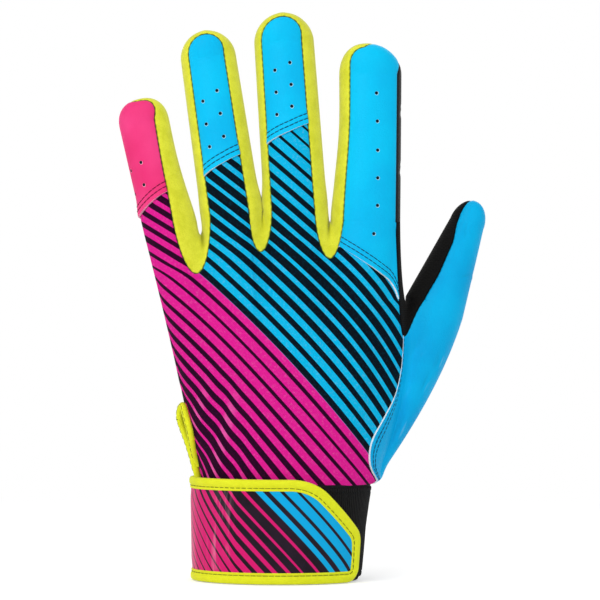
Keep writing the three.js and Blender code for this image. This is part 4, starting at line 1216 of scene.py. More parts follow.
# A hole is a dish of rings: how wide and how high each is, and how far it is shifted, so that one side's rim shows:
# the pale rim on the lower right, the cut edge's colour placed as a painted highlight on the lit wall.
HOLE_RINGS = [(1.0, -0.12, 0.0), (0.87, 0.1, 0.0), (0.74, 0.13, 0.0), (0.63, 0.09, 0.07), (0.3, 0.08, 0.07),
              (0.0001, 0.08, 0.07)]
HOLE_MATERIALS = (0, 0, 1, 2, 2)
HOLE_SIDES = 20


def punched_holes(name, places, rim, edge):
    """Small punched holes, from (place, outward direction) pairs, each with the lip of leather round it."""
    turn = ring_turns(HOLE_SIDES)
    ring = ring_faces(len(HOLE_RINGS), HOLE_SIDES)
    points, faces = [], []
    for place, out in places:
        side = unit(np.cross(out, [0, 0, 1.0]))
        rise = np.cross(side, out)
        side, rise = side * np.sign(side[0]), rise * np.sign(rise[2])
        faces.append(ring + len(points) * HOLE_SIDES)
        for r, high, shift in HOLE_RINGS:
            points.append(place + out * high + np.outer(np.cos(turn) * r - shift, side)
                          + np.outer(np.sin(turn) * r + shift, rise))
    points = np.concatenate(points)
    # The inner rings are a dark disc of painted shade, not a cut hole, and the band beside them a painted highlight.
    index = np.tile(np.repeat(HOLE_MATERIALS, HOLE_SIDES), len(places))
    return new_mesh(name, points, np.concatenate(faces), [rim, edge, HOLE_SHADE], index, 80.0,
                    seam=np.full(len(points), FAR), run=np.zeros(len(points)))


def digit_holes(d):
    places = []
    for across, along in HOLES[d.name]:
        half_w = lerp(d.width[0], d.width[1], min(1, along / d.shaft)) / 2
        rise = math.acos(abs(across) / half_w)
        round_ = 0.0 if across > 0 else PI
        places.append(with_outward(lambda depth: digit_point(d, along, round_, rise, depth)))
    return places


def strip_surface(d, thumb_side, end):
    along, round_ = rim_path(d, thumb_side, end)
    t = edged(9.0, 0.9)

    def surface(depth):
        back = seam_angle(d, 1, along, round_)
        front = seam_angle(d, -1, along, round_)
        rise = back[None, :] + (front - back)[None, :] * t[:, None]
        return digit_point(d, along[None, :], round_[None, :], rise, depth)

    return surface


# How far the strips and webs swell where they meet, for each web, and how far two strips stand up over a fingertip.
FOOT_SWELL = [0.3, 0.85, 0.3, 0.0]
TIP_RIDGE = 0.16


def strip_shape(d, thumb_side, end):
    """The strips swell at their feet, and stand up a little where two of them meet over a fingertip."""
    foot = FOOT_SWELL[DIGITS.index(d) - (0 if thumb_side else 1)]

    def extra(flat, far):
        swell = foot * bell((reach_from(flat, "v0") - 2.5) / 6.5) * ease(far / 2.0)
        return swell + (TIP_RIDGE * bell(reach_from(flat, "v1") / 1.6) if end == 90.0 else 0)

    return extra


# The creases of a finger's front: place as a share of its length, depth and width.
CREASES = [(0.27, 0.34, 1.1), (0.31, 0.2, 0.8), (0.60, 0.3, 1.0), (0.64, 0.16, 0.8)]


def front_creases(d):
    """The bends that a finger's front folds at."""
    def extra(flat, far):
        along = (flat - d.centre) @ d.up
        wander = 0.9 * np.sin(((flat - d.centre) @ d.across) * 0.45 + d.lean)
        deep = 0 * along
        for share, depth, width in CREASES:
            deep = deep - depth * bell((along + wander - share * d.length) / width)
        return deep * ease(far / 3.0)

    return extra


THUMB_FOLDS = [(60.5, 83, 0.3, 1, 5, 0.34, 0.7), (55.5, 74.5, 0.5, 1, 6, 0.34, 0.7),
               (45.5, 57, 0.45, 1, 6, 0.32, 0.9), (52, 87, 0.9, 1, 8, 0.2, 2.6), (46, 72, 0.6, 1, 10, 0.2, 2.8),
               (71.2, 132, 0.1, 1, 3, 0.25, 0.7), (71.2, 114.5, 1, 0.3, 2.5, 0.25, 0.8)]


def thumb_folds(flat, far):
    """Short soft folds: each has a place, a direction, a length, a height and a width."""
    x, z = flat[..., 0], flat[..., 2]
    h = 0 * x
    for x0, z0, dx, dz, length, high, width in THUMB_FOLDS:
        size = math.hypot(dx, dz)
        along = ((x - x0) * dx + (z - z0) * dz) / size
        off = ((x - x0) * dz - (z - z0) * dx) / size / width
        h = h + 2 * high * off * bell(off * 0.8) * bell(along / length)
    return h * ease(far / 2.5)


CYAN_LOOK = SimpleNamespace(slot="cyan_leather", skin=CYAN, rim=RAW_EDGE, hole_rim=PALE_EDGE, thread=BLUE_THREAD)
PINK_LOOK = SimpleNamespace(slot="pink_leather", skin=PINK, rim=RAW_PINK, hole_rim=RAW_PINK, thread=PLUM_THREAD)
SIDE_CLOTH = {"yellow_fabric": YELLOW, "black_fabric": BLACK_CLOTH}
UNDER_LEATHER = 3.5  # how far cloth runs on under a cut edge


def capped_back(d, look, p):
    """A leather cap, the printed cloth that runs on under it, and the cap's stitches."""
    cap = skin_sheet(f"{d.name}_cap", sheet_surface(d, 1, p, cap_rows(d), leather_edge(d, p)),
                     [look.skin, LINING, look.rim], laps=("v0",), extra=row_grooves)
    rows = edged(sum(d.leather) / 2 + UNDER_LEATHER, 1.0, start=False, end=False)
    along = rows[None, :] * (leather_edge(d, p) + UNDER_LEATHER)[:, None]
    round_ = np.where(p < 0, PI, 0.0)[:, None]

    def surface(depth):
        rise = lerp(PI / 2, seam_angle(d, 1, along, round_ + 0 * along), np.abs(p)[:, None])
        return digit_point(d, along, round_, rise, depth)

    cloth = skin_sheet(f"{d.name}_cloth", surface, [PRINT, LINING], tucks=("v1",), printed=digit_print(d))
    thread = stitches(f"{d.name}_cap_stitching", cap_stitches(d), look.thread)
    return [(cap, look.slot, f"{d.name}_back_leather"), (cloth, "printed_fabric", f"{d.name}_back_fabric"),
            (thread, look.slot, None)]


def whole_back(d, p, shaft):
    """A leather back over all of a digit. The thumb's has folds."""
    surface = sheet_surface(d, 1, p, shaft, 0 * p)
    # The folds' heights, as shade, paint highlights and shade into the leather.
    folded = dict(extra=thumb_folds, shade=thumb_folds(surface(0.0), CLEAR)) if d is THUMB else {}
    back = skin_sheet(f"{d.name}_back", surface, [SHADED_THUMB_CYAN if d is THUMB else CYAN, LINING], **folded)
    return [(back, "cyan_leather", f"{d.name}_back_leather")]


def side_strips(d):
    strips = []
    for node, (owner, thumb_side, end, slot_name) in STRIPS.items():
        if owner is d:
            name = node.replace("fourchette", "side_strip").replace("gusset", "side_cloth")
            strip = skin_sheet(name, strip_surface(d, thumb_side, end), [SIDE_CLOTH[slot_name], LINING],
                               extra=None if d is THUMB else strip_shape(d, thumb_side, end))
            strips.append((strip, slot_name, node))
    return strips


def make_digits():
    for d in DIGITS:
        look = PINK_LOOK if d is PINKY else CYAN_LOOK
        p = 2 * edged(OVER_WIDTH * d.width[0]) - 1
        shaft = edged(d.shaft, SKIN_STEP, start=False, end=False)
        pieces = capped_back(d, look, p) if d in (PINKY, RING, MIDDLE) else whole_back(d, p, shaft)
        if d.name in HOLES:
            holes = punched_holes(f"{d.name}_holes", digit_holes(d), look.skin, look.hole_rim)
            pieces.append((holes, look.slot, None))
        front = skin_sheet(f"{d.name}_palm_side", sheet_surface(d, -1, p, shaft, 0 * p), [BLACK_LEATHER, LINING],
                           extra=None if d is THUMB else front_creases(d))
        pieces.append((front, "black_leather", f"{d.name}_front"))
        for obj, slot_name, node in pieces + side_strips(d):
            bend_with(obj, d)
            if node:
                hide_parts(node)


make_digits()

# ---------------------------------------------------------------- pieces of the hand

NEAR_EDGE = (0.0, 0.3, 0.7, 1.2)
HAND_HEIGHT = 100.0


def columns_between(start, end, near=NEAR_EDGE):
    """Columns between two edges, close together at both."""
    columns = []
    at = math.floor(start)
    while at < end:
        count = RING_CURVES[at % COLUMNS].count
        columns += [at + k / count for k in range(count)]
        at += 1
    near = np.array(near) / column_size_at(start + 0.2, 0.5)
    far = np.array(NEAR_EDGE) / column_size_at(end - 0.2, 0.5)
    inner = [c for c in columns if start + near[-1] + far[-1] * 0.4 < c < end - far[-1] * 1.4]
    return np.concatenate([start + near, inner, end - far[::-1]])


def hand_surface(left, right, foot=None, top=None, rows=None, near=NEAR_EDGE):
    """A panel of the hand between two edges, each a function of the row, from a foot row to a top row: its surface,
    and the columns and rows of its grid."""
    base = columns_between(float(left(np.array([1.0]))[0]), float(right(np.array([1.0]))[0]), near)
    rows = edged(HAND_HEIGHT, 1.25) if rows is None else rows
    foot = np.zeros(len(base)) if foot is None else foot(base)
    top = np.ones(len(base)) if top is None else top(base)
    row = foot[:, None] + (top - foot)[:, None] * rows[None, :]
    near_left = clamp01(1 - (base - base[0]))[:, None]
    near_right = clamp01(1 - (base[-1] - base))[:, None]
    shift_left = left(row.ravel()).reshape(row.shape) - base[0]
    shift_right = right(row.ravel()).reshape(row.shape) - base[-1]
    column = base[:, None] + shift_left * near_left + shift_right * near_right
    return (lambda depth: hand_point(column, row, depth)), column, row


def rides(obj, slot_name, *nodes):
    """The piece moves with the hand."""
    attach(obj, HAND)
    if nodes:
        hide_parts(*nodes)


def panel_height(columns):
    return hand_point(columns, np.ones_like(columns))[:, 2] - CUFF_TOP


UNDER_THUMB_ROOT = 4.0
UNDER_DEPTH = 0.4


def make_back():
    """The printed back. It runs on, lower, under the leather of the index finger and of the thumb's root."""
    def top(columns):
        inside = (columns > INDEX_FROM) & (columns < INDEX_TO)
        row = index_seam_row(columns)
        return np.where(inside, np.minimum(1.0, row + UNDER_LEATHER / panel_height(columns)), 1.0)

    surface, column, row = hand_surface(
        lambda r: ulnar_edge(r, 1) - COLUMNS, lambda r: thumb_seam(r, UNDER_THUMB_ROOT), top=top)
    buried = ease((column - INDEX_FROM + 0.03) / 0.05) * ease((INDEX_TO - 0.03 - column) / 0.05)
    above = row - index_seam_row(column.ravel()).reshape(column.shape)
    thumb_far = (column - thumb_seam(row.ravel()).reshape(row.shape)) * 12

    def extra(flat, far):
        under = ease(above * 100 / 2.0 + 0.5) * buried + ease(thumb_far / 2.0 + 0.5)
        return folds(flat)[1] - UNDER_DEPTH * np.minimum(1, under)

    # The folds' heights, as shade, paint highlights on their crests into the print.
    rides(skin_sheet("back_of_hand", surface, [PRINT, LINING], extra=extra, printed=print_count,
                     shade=folds(surface(0.0))[1]),
          "printed_fabric", "back_panel")


def make_index_root():
    """The leather below the index finger, with its stitches and its one hole."""
    low, high = INDEX_FROM + 0.02, INDEX_TO - 0.02
    surface, *_ = hand_surface(lambda r: 0 * r + low, lambda r: 0 * r + high, foot=index_seam_row,
                               rows=edged(22.0, 0.9))
    obj = skin_sheet("index_root", surface, [CYAN, LINING, RAW_EDGE], laps=("v0",), extra=row_grooves,
                     lap=ROOT_LAP)
    rides(obj, "cyan_leather", "index_root_leather")
    rows = []
    for above in ROWS:
        columns = np.linspace(low, high, 240)
        at = index_seam_row(columns) + above / panel_height(columns)
        keep = at < 0.997
        columns, at = columns[keep], at[keep]
        rows.append(stitch_row(lambda depth: hand_point(columns, at, depth), above, ROOT_LAP, 0.08))
    rides(stitches("index_root_stitching", rows, BLUE_THREAD), "cyan_leather")
    # The hole lies 5 mm below the top of the panel, which is 99.5 mm high there, and 6.2 mm above its cut edge.
    column = np.array([column_of(6, PI / 2) + 0.14])
    at = np.array([1 - 5.0 / 99.5])
    flat, out = with_outward(lambda depth: hand_point(column, at, depth)[0])
    lift = cap_height(np.array([6.2]), ROOT_LAP)[0]
    rides(punched_holes("index_root_hole", [(flat + out * lift, out)], CYAN, PALE_EDGE), "cyan_leather")


def thumb_root_shape(flat, far):
    return row_dents(reach_from(flat, "u0")) + thumb_folds(flat, far)


def make_thumb_root():
    """The leather round the thumb's root, with its stitches."""
    surface, *_ = hand_surface(thumb_seam, lambda r: 0 * r + THUMB_FRONT, near=np.linspace(0, 4.0, 17))
    # The folds' heights, as shade, paint highlights and shade into the leather.
    obj = skin_sheet("thumb_root", surface, [SHADED_THUMB_CYAN, LINING, RAW_EDGE], laps=("u0",), extra=thumb_root_shape,
                     shade=thumb_folds(surface(0.0), CLEAR), lap=ROOT_LAP)
    rides(obj, "cyan_leather", "thumb_root_leather")
    rows = []
    at = np.linspace(0.02, 0.985, 260)
    for across in ROWS:
        columns = thumb_seam(at, across)
        rows.append(stitch_row(lambda depth: hand_point(columns, at, depth), across, ROOT_LAP, 0.1, thumb_folds))
    rides(stitches("thumb_root_stitching", rows, BLUE_THREAD), "cyan_leather")


# The creases of the palm: a point of each, its lean, bend, half length, depth and width.
PALM_CREASES = [(6, 92, 0.42, 0.010, 30, 0.5, 1.5), (-6, 112, 0.2, -0.006, 30, 0.4, 1.4),
                (16, 70, 1.6, 0.02, 22, 0.45, 1.6)]


def palm_creases(flat, far):
    x, z = flat[..., 0], flat[..., 2]
    deep = 0 * x
    for x0, z0, lean, bend, length, depth, width in PALM_CREASES:
        line = z0 + lean * (x - x0) - bend * (x - x0) ** 2
        gap = (z - line) / math.sqrt(1 + lean * lean)
        deep = deep - depth * bell(gap / width) * bell((x - x0) / length)
    return deep * ease(far / 4.0)


def make_palm():
    surface, *_ = hand_surface(lambda r: 0 * r + THUMB_FRONT, lambda r: ulnar_edge(r, -1))
    rides(skin_sheet("palm", surface, [BLACK_LEATHER, LINING], extra=palm_creases), "black_leather", "palm_panel")


# The heel patch: its columns, its foot, its top and how far that falls off at its sides, its height over the palm,
# how much higher it is in its middle and lower at its rim, the gap under it, and how far its stitches lie from its
# edge.
GUARD_COLUMNS = (14.5, 18.25)
GUARD_FOOT, GUARD_TOP, GUARD_FALL = 40, 76, 12
GUARD_HIGH, GUARD_PUFF, GUARD_RIM, GUARD_GAP = 0.95, 0.35, 0.4, 0.12
GUARD_SEAM = 2.3


def inset_line(outer, out, reach, side, inset):
    """The line on a grid that runs inset from one side, and the directions out of the skin along it."""
    across = ("u0", "u1") if side[0] == "v" else ("v0", "v1")
    grids = (reach[side], outer, out, reach[across[0]], reach[across[1]])
    if side[0] == "u":
        grids = [np.swapaxes(grid, 0, 1) for grid in grids]
    order = slice(None, None, -1 if side[1] == "1" else 1)
    line, outs = [], []
    for far, points, ways, from_start, from_end in zip(*grids):
        if min(from_start.min(), from_end.min()) >= inset:
            line.append(read_line(inset, far[order], points[order]))
            outs.append(ways[order][int(np.argmin(np.abs(far[order] - inset)))])
    return np.array(line), np.array(outs)


def make_heel_guard():
    columns = columns_between(*GUARD_COLUMNS)
    angles = wrist_angle(columns)
    middle, half = (angles[0] + angles[-1]) / 2, (angles[0] - angles[-1]) / 2
    edge = GUARD_TOP - GUARD_FALL * np.abs((angles - middle) / half) ** 4
    low, high = (hand_point(columns, np.full_like(columns, row))[:, 2] for row in (0.0, 1.0))
    height = GUARD_FOOT + (edge - GUARD_FOOT)[:, None] * edged(34.0, 1.2)[None, :]
    at = (height - low[:, None]) / (high - low)[:, None]
    flat, out = with_outward(lambda depth: hand_point(columns[:, None], at, depth))
    reach = {side: reach_from(flat, side) for side in SIDES}
    rim = np.minimum.reduce(list(reach.values()))
    puff = GUARD_HIGH + GUARD_PUFF * ease((rim - 3.0) / 6.0) - GUARD_RIM * (1 - np.sqrt(clamp01(rim / 0.8)))
    puff = puff - 0.16 * bell((rim - GUARD_SEAM) / 0.5)
    outer = flat + out * (puff + palm_creases(flat, rim + 4))[..., None]
    patch = shell("heel_guard", outer, flat + out * GUARD_GAP, [BLACK_LEATHER, LINING, RAW_BLACK], (2, 2, 2, 2),
                  seam=np.full(rim.shape, FAR), run=0 * rim)
    rides(patch, "black_leather", "heel_patch")
    lines = [inset_line(outer, out, reach, side, GUARD_SEAM) for side in ("v0", "v1", "u0", "u1")]
    rows = [(line + outs * 0.06, outs) for line, outs in lines if len(line) > 3]
    rides(stitches("heel_guard_stitching", rows, BLACK_THREAD, 2.4, 0.78, 0.22), "black_leather")


# The webs' names, and the share of their width at which each has painted shade down its fold.
WEB_CREASE_SHADE = {"pinky_ring": 0.64, "ring_middle": 0.58, "middle_index": 0.5, "thumb": 0.5}
WEB_FOLD = 0.55
WEB_LENGTH, THUMB_WEB_LENGTH = 26.0, 60.0


def make_web(place, name, middle):
    """The soft piece between two digits. It swells at its ends, and between fingers it folds in its middle."""
    dark = place == THUMB_WEB
    u = edged(THUMB_WEB_LENGTH if dark else WEB_LENGTH, 0.9, start=False, end=False)[:, None]
    v = edged(16.0, 0.8)[None, :]

    def extra(flat, far):
        fold = bell((u - 0.5) / 0.035) * ease(v * 3.2 - 0.25) * ease((1 - v) * 3.2)
        swell = sum(bell((reach_from(flat, side) + 2.5) / 6.5) for side in ("u0", "u1")) * ease(far / 2.0)
        return FOOT_SWELL[place] * swell - (0.0 if dark else WEB_FOLD) * fold

    # Painted shade in a band down the web, fading towards its seams.
    crease_shade = bell((u - middle) / 0.16) * ease((v - 0.04) / 0.3) * ease((0.96 - v) / 0.3)
    obj = skin_sheet(f"{name}_crotch", lambda depth: web_point(place, u, v, depth),
                     [BLACK_CLOTH if dark else YELLOW, LINING], extra=extra, shade=crease_shade)
    rides(obj, "black_fabric" if dark else "yellow_fabric", f"{name}_web")


def make_webs():
    for place, (name, middle) in enumerate(WEB_CREASE_SHADE.items()):
        make_web(place, name, middle)


make_back()
make_index_root()
make_thumb_root()
make_palm()
make_heel_guard()
make_webs()

# ---------------------------------------------------------------- the cuff and the strap

SLIT = float(wrist_angle(np.array([ULNAR]))[0])
SLIT_HALF = 0.95
# Cross-sections of the cuff and of the loop patch: height, distance out.
CUFF_PROFILE = [(0.0, -1.1), (0.0, -0.6), (0.3, -0.15), (0.9, 0.0), (2.6, 0.05), (2.9, -0.12), (3.2, 0.05),
                (9, 0.08), (16, 0.1), (23, 0.1), (30, 0.1), (32.4, 0.1), (32.7, -0.08), (33.0, 0.2), (34.6, 0.4),
                (36.2, 0.42), (36.8, 0.22), (37.0, -0.15), (36.8, -0.6), (36.0, -1.1), (30, -1.6), (16, -1.6),
                (4, -1.6), (0.5, -1.5)]
LOOP_PROFILE = [(1.5, 0.3), (1.45, 0.7), (1.9, 0.95), (3.0, 1.0), (3.4, 0.8), (3.8, 1.02), (12, 1.1), (20, 1.1),
                (28, 1.08), (33.2, 1.02), (33.6, 0.8), (34.0, 1.0), (35.0, 0.95), (35.5, 0.7), (35.4, 0.3),
                (20, 0.2)]
LOOP_FROM, LOOP_TO = 77 * DEG, 4 * DEG
# How much slimmer the cuff is on the thumb side, and the height from which it is all of that.
CUFF_SLIM, CUFF_SLIM_HEIGHT = 1.7, 26.0


def band(name, angles, profile, materials):
    """A band round the wrist with a closed profile."""
    heights, outs = np.transpose(profile)
    sections = wrist_point(angles[:, None], heights[None, :], outs[None, :])
    slimmer = CUFF_SLIM * ease(heights / CUFF_SLIM_HEIGHT)
    sections[..., 0] -= slimmer * np.maximum(0, np.cos(angles))[:, None] ** 3
    return sweep(name, sections, materials)


def make_cuff():
    half = SLIT_HALF / OPENING[1]
    angles = np.linspace(SLIT + half, SLIT + 2 * PI - half, 220)
    rides(band("cuff_band", angles, CUFF_PROFILE, [NEOPRENE]), "black_neoprene", "cuff")
    angles = np.linspace(LOOP_FROM, LOOP_TO, 90)
    rides(band("loop_pile_patch", angles, LOOP_PROFILE, [LOOPS]), "black_patch", "loop_patch")


STRAP_HEIGHT, STRAP_FOOT = 39.1, 0.1
STRAP_TOP = STRAP_HEIGHT + STRAP_FOOT
TAPE = 4.3
END_ANGLE, FREE_ANGLE, HINGE_ANGLE, ANCHOR_ANGLE = 28 * DEG, 165 * DEG, 198 * DEG, 232 * DEG
FLAT_ANGLES = END_ANGLE + np.linspace(0, 2 * PI, 1441)
STRAP_LINE = 2.1
FLAT_RUN = run_along(wrist_point(FLAT_ANGLES, STRAP_HEIGHT / 2, STRAP_LINE))
STRAP_LENGTH, ANCHOR_LENGTH, FRONT_LENGTH = (
    float(np.interp(angle, FLAT_ANGLES, FLAT_RUN)) for angle in (HINGE_ANGLE, ANCHOR_ANGLE, PI / 2))


def strap_point(length, height, out):
    """A point of the strap, from its place on the strap laid flat."""
    return wrist_point(np.interp(length, FLAT_RUN, FLAT_ANGLES), height, out)


# The strap's stripes: where their count starts, how they lean and how far apart they are, and how much closer they
# lie on the left and on the right of the start. From STRAP_TURN on, far round on the left, they lie closer still.
STRAP_START, STRAP_LEAN, STRAP_APART = 20.97, 0.967, 5.55
STRAP_CLOSER = (0.92, 0.99)
STRAP_TURN, STRAP_TURN_MORE = -17.5, 0.265


def strap_count(length, height):
    """The stripe count on the strap, and the height."""
    s = FRONT_LENGTH - length
    s = s - STRAP_TURN_MORE * np.maximum(0, STRAP_TURN - s)
    count = (s - STRAP_START + STRAP_LEAN * height) / STRAP_APART
    count = np.where(count < 0, count / STRAP_CLOSER[0], count / STRAP_CLOSER[1])
    return np.stack([count + 0.15 * ease(-count / 1.5), height, 0 * height], axis=-1)


LEAST_RADIUS = 1.5  # of a corner that lies inset


def rounded(corners, radii, inset, step=0.5):
    """The outline through corners, inset from them, with its corners rounded: points, the directions inwards and
    the run along it."""
    points, turns = [], []
    corners = [np.array(c, float) for c in corners]
    for k, c in enumerate(corners):
        if k in (0, len(corners) - 1):
            other = corners[1] if k == 0 else corners[-2]
            way = unit(other - c) if k == 0 else unit(c - other)
            inward = np.array([way[1], -way[0]])
            points.append(c + inward * inset)
            turns.append(inward)
            continue
        a, b = unit(corners[k - 1] - c), unit(corners[k + 1] - c)
        half = math.acos(float(np.clip(a @ b, -1, 1))) / 2
        radius = max(radii[k], inset + LEAST_RADIUS)
        centre = c + unit(a + b) * radius / math.sin(half)
        start = c + a * radius / math.tan(half) - centre
        stop = c + b * radius / math.tan(half) - centre
        t0, t1 = math.atan2(start[1], start[0]), math.atan2(stop[1], stop[0])
        t1 = t0 + (t1 - t0 + PI) % (2 * PI) - PI
        for t in np.linspace(t0, t1, 15):
            spoke = np.array([math.cos(t), math.sin(t)])
            points.append(centre + spoke * (radius - inset))
            turns.append(-spoke)
    points, turns = np.array(points), np.array(turns)
    run = run_along(points)
    at = np.linspace(0, run[-1], round(run[-1] / step))
    return read_line(at, run, points), unit(read_line(at, run, turns)), at


# The outlines of the strap and of its sewn end, laid flat: corners as (length, height), and their radii.
STRAP_CORNERS = [(STRAP_LENGTH, STRAP_FOOT), (0.6, STRAP_FOOT), (2.9, STRAP_FOOT + 18.2), (24.4, STRAP_TOP),
                 (STRAP_LENGTH, STRAP_TOP)]
STRAP_RADII = [0, 5, 10, 20, 0]
ANCHOR_CORNERS = [(STRAP_LENGTH, STRAP_TOP), (ANCHOR_LENGTH, STRAP_TOP), (ANCHOR_LENGTH, STRAP_FOOT),
                  (STRAP_LENGTH, STRAP_FOOT)]
ANCHOR_RADII = [0, 4, 4, 0]
# The tape's cross-section: in from the edge, out from the wrist.
TAPE_PROFILE = [(TAPE, 3.45), (TAPE + 0.02, 3.95), (TAPE - 0.25, 4.12), (3.85, 4.12), (3.5, 3.96), (3.25, 3.86),
                (3.0, 3.98), (2.6, 4.24), (2.0, 4.42), (1.3, 4.44), (0.6, 4.28), (0.16, 3.95), (0.0, 3.4), (0.0, 2.7),
                (0.2, 2.15), (0.7, 1.92), (2.4, 1.86), (TAPE, 1.9), (TAPE, 2.7)]
# How far apart the tape's stitches are, and where their row lies: in from the edge, out from the wrist.
TAPE_STITCH = 2.3
TAPE_SEAM = (3.25, 3.93)


def tape_round(name, corners, radii):
    """A folded tape sewn round an edge of the strap, with a dent at each stitch."""
    edge, inward, run = rounded(corners, radii, 0.0)
    a, b = np.transpose(TAPE_PROFILE)
    dent = 0.1 * np.cos(2 * PI * run / TAPE_STITCH)[:, None] * bell((a - 3.0) / 0.9)[None, :] * (b > 3.8)[None, :]
    flat = edge[:, None, :] + inward[:, None, :] * a[None, :, None]
    return sweep(name, strap_point(flat[..., 0], flat[..., 1], b[None, :] + dent), [BINDING])


def tape_stitches(name, corners, radii):
    edge, inward, _ = rounded(corners, radii, 0.0)
    flat = edge + inward * TAPE_SEAM[0]
    line = strap_point(flat[:, 0], flat[:, 1], TAPE_SEAM[1])
    outs = unit(strap_point(flat[:, 0], flat[:, 1], TAPE_SEAM[1] + 1) - line)
    return stitches(name, [(line, outs)], OLIVE_THREAD, TAPE_STITCH, 0.97, 0.13)


def strap_sheet(name, corners, radii, inset, out, wall, reach, materials, printed=False):
    """A sheet that fills the strap's outline, inset from it, up to a length, with its inner side at out."""
    outline, _, _ = rounded(corners, radii, inset, 0.25)
    free = outline[:, 0].min()
    split = int(np.argmin(outline[:, 0] + 1e-3 * np.abs(outline[:, 1] - STRAP_FOOT - 8)))
    low, high = outline[: split + 1][::-1], outline[split:]
    near = free + np.array([0, 0.05, 0.2, 0.45, 0.8, 1.2, 1.8, 2.5, 3.4])
    length = np.concatenate([near, np.linspace(near[-1], reach, round((reach - near[-1]) / 1.1))[1:]])
    low_at = np.interp(length, low[:, 0], low[:, 1])
    high_at = np.interp(length, high[:, 0], high[:, 1])
    height = low_at[:, None] + (high_at - low_at)[:, None] * edged(30.0, 1.2)[None, :]
    grid = length[:, None] + 0 * height
    outer = strap_point(grid, height, out + wall)
    rim = np.minimum.reduce([reach_from(outer, s) for s in ("u0", "v0", "v1")])
    outer = strap_point(grid, height, out + wall + 0.28 * ease(rim / 5.0))
    layers = {"print": strap_count(grid, height)} if printed else {}
    return shell(name, outer, strap_point(grid, height, out), materials, **layers)


def bend_strap(obj, slot_name, *nodes):
    """Bakes the piece's place into its mesh and hides the parts it stands for; the strap is not bent."""
    start = wrist_point(HINGE_ANGLE, STRAP_HEIGHT / 2, STRAP_LINE)
    end = wrist_point(FREE_ANGLE, STRAP_HEIGHT / 2, STRAP_LINE)
    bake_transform(obj)
    if nodes:
        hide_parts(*nodes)


# The strap's layers: how far each is inset from the outline, where its inner side lies and how thick it is.
FACE = (TAPE - 0.5, 2.9, 0.85)
STRAP_LINING = (0.6, 2.0, 0.8)
HOOK_PATCH = (6.0, 1.35, 0.55)
HOOK_END = 26.0
# The filling of the sewn end, between its face and the cuff.
FILL_OUT, FILL_IN = 2.8, 0.4


def make_strap():
    outline = (STRAP_CORNERS, STRAP_RADII)
    face = strap_sheet("strap_print", *outline, *FACE, STRAP_LENGTH, [STRAP, LINING], printed=True)
    bend_strap(face, "printed_strap", "strap_face")
    lining = strap_sheet("strap_inside", *outline, *STRAP_LINING, STRAP_LENGTH, [NEOPRENE])
    bend_strap(lining, "black_neoprene", "strap_lining")
    bend_strap(tape_round("strap_tape", *outline), "yellow_binding", "strap_binding")
    bend_strap(tape_stitches("strap_stitching", *outline), "yellow_binding")
    hook = strap_sheet("hook_patch_pile", *outline, *HOOK_PATCH, HOOK_END, [HOOKS])
    bend_strap(hook, "black_patch", "hook_patch")


def make_sewn_end():
    """The strap's fixed end, sewn to the cuff on the palm side."""
    inset, out, wall = FACE
    length = np.linspace(STRAP_LENGTH, ANCHOR_LENGTH - inset, 22)
    height = lerp(STRAP_FOOT + inset, STRAP_TOP - inset, edged(30.0, 1.2))
    grid, height = np.meshgrid(length, height, indexing="ij")
    face = shell("strap_sewn_end", strap_point(grid, height, out + wall), strap_point(grid, height, out),
                 [STRAP, LINING], **{"print": strap_count(grid, height)})
    rides(face, "printed_strap", "strap_anchor")
    length = np.linspace(STRAP_LENGTH, ANCHOR_LENGTH - 0.6, 22)
    height = lerp(STRAP_FOOT + 0.6, STRAP_TOP - 0.9, edged(36.0, 1.5))
    grid, height = np.meshgrid(length, height, indexing="ij")
    fill = shell("strap_sewn_end_inside", strap_point(grid, height, FILL_OUT), strap_point(grid, height, FILL_IN),
                 [NEOPRENE])
    rides(fill, "black_neoprene")
    outline = (ANCHOR_CORNERS, ANCHOR_RADII)
    rides(tape_round("strap_sewn_end_tape", *outline), "yellow_binding")
    rides(tape_stitches("strap_sewn_end_stitching", *outline), "yellow_binding")


# The tape round the slit: distance round from the slit, height, distance out.
VENT_PATH = [(5.6, 43.5, -0.9), (6.9, 47, 0.0), (8.9, 50.6, 0.5), (10.6, 54, 0.85), (11.4, 57.5, 1.0),
             (11.1, 61, 1.05), (9.9, 64.6, 0.8), (7.9, 66.5, 0.5), (5.9, 66.5, 0.9), (4.4, 64.7, 1.9),
             (3.8, 61.6, 2.6), (3.9, 57.3, 2.1), (4.3, 52.5, 1.4), (4.9, 47.2, 0.9), (5.3, 42, 0.6), (5.4, 37.8, 0.3)]
VENT_STEP = 0.45
VENT_WIDE, VENT_THICK = 1.38, 1.3


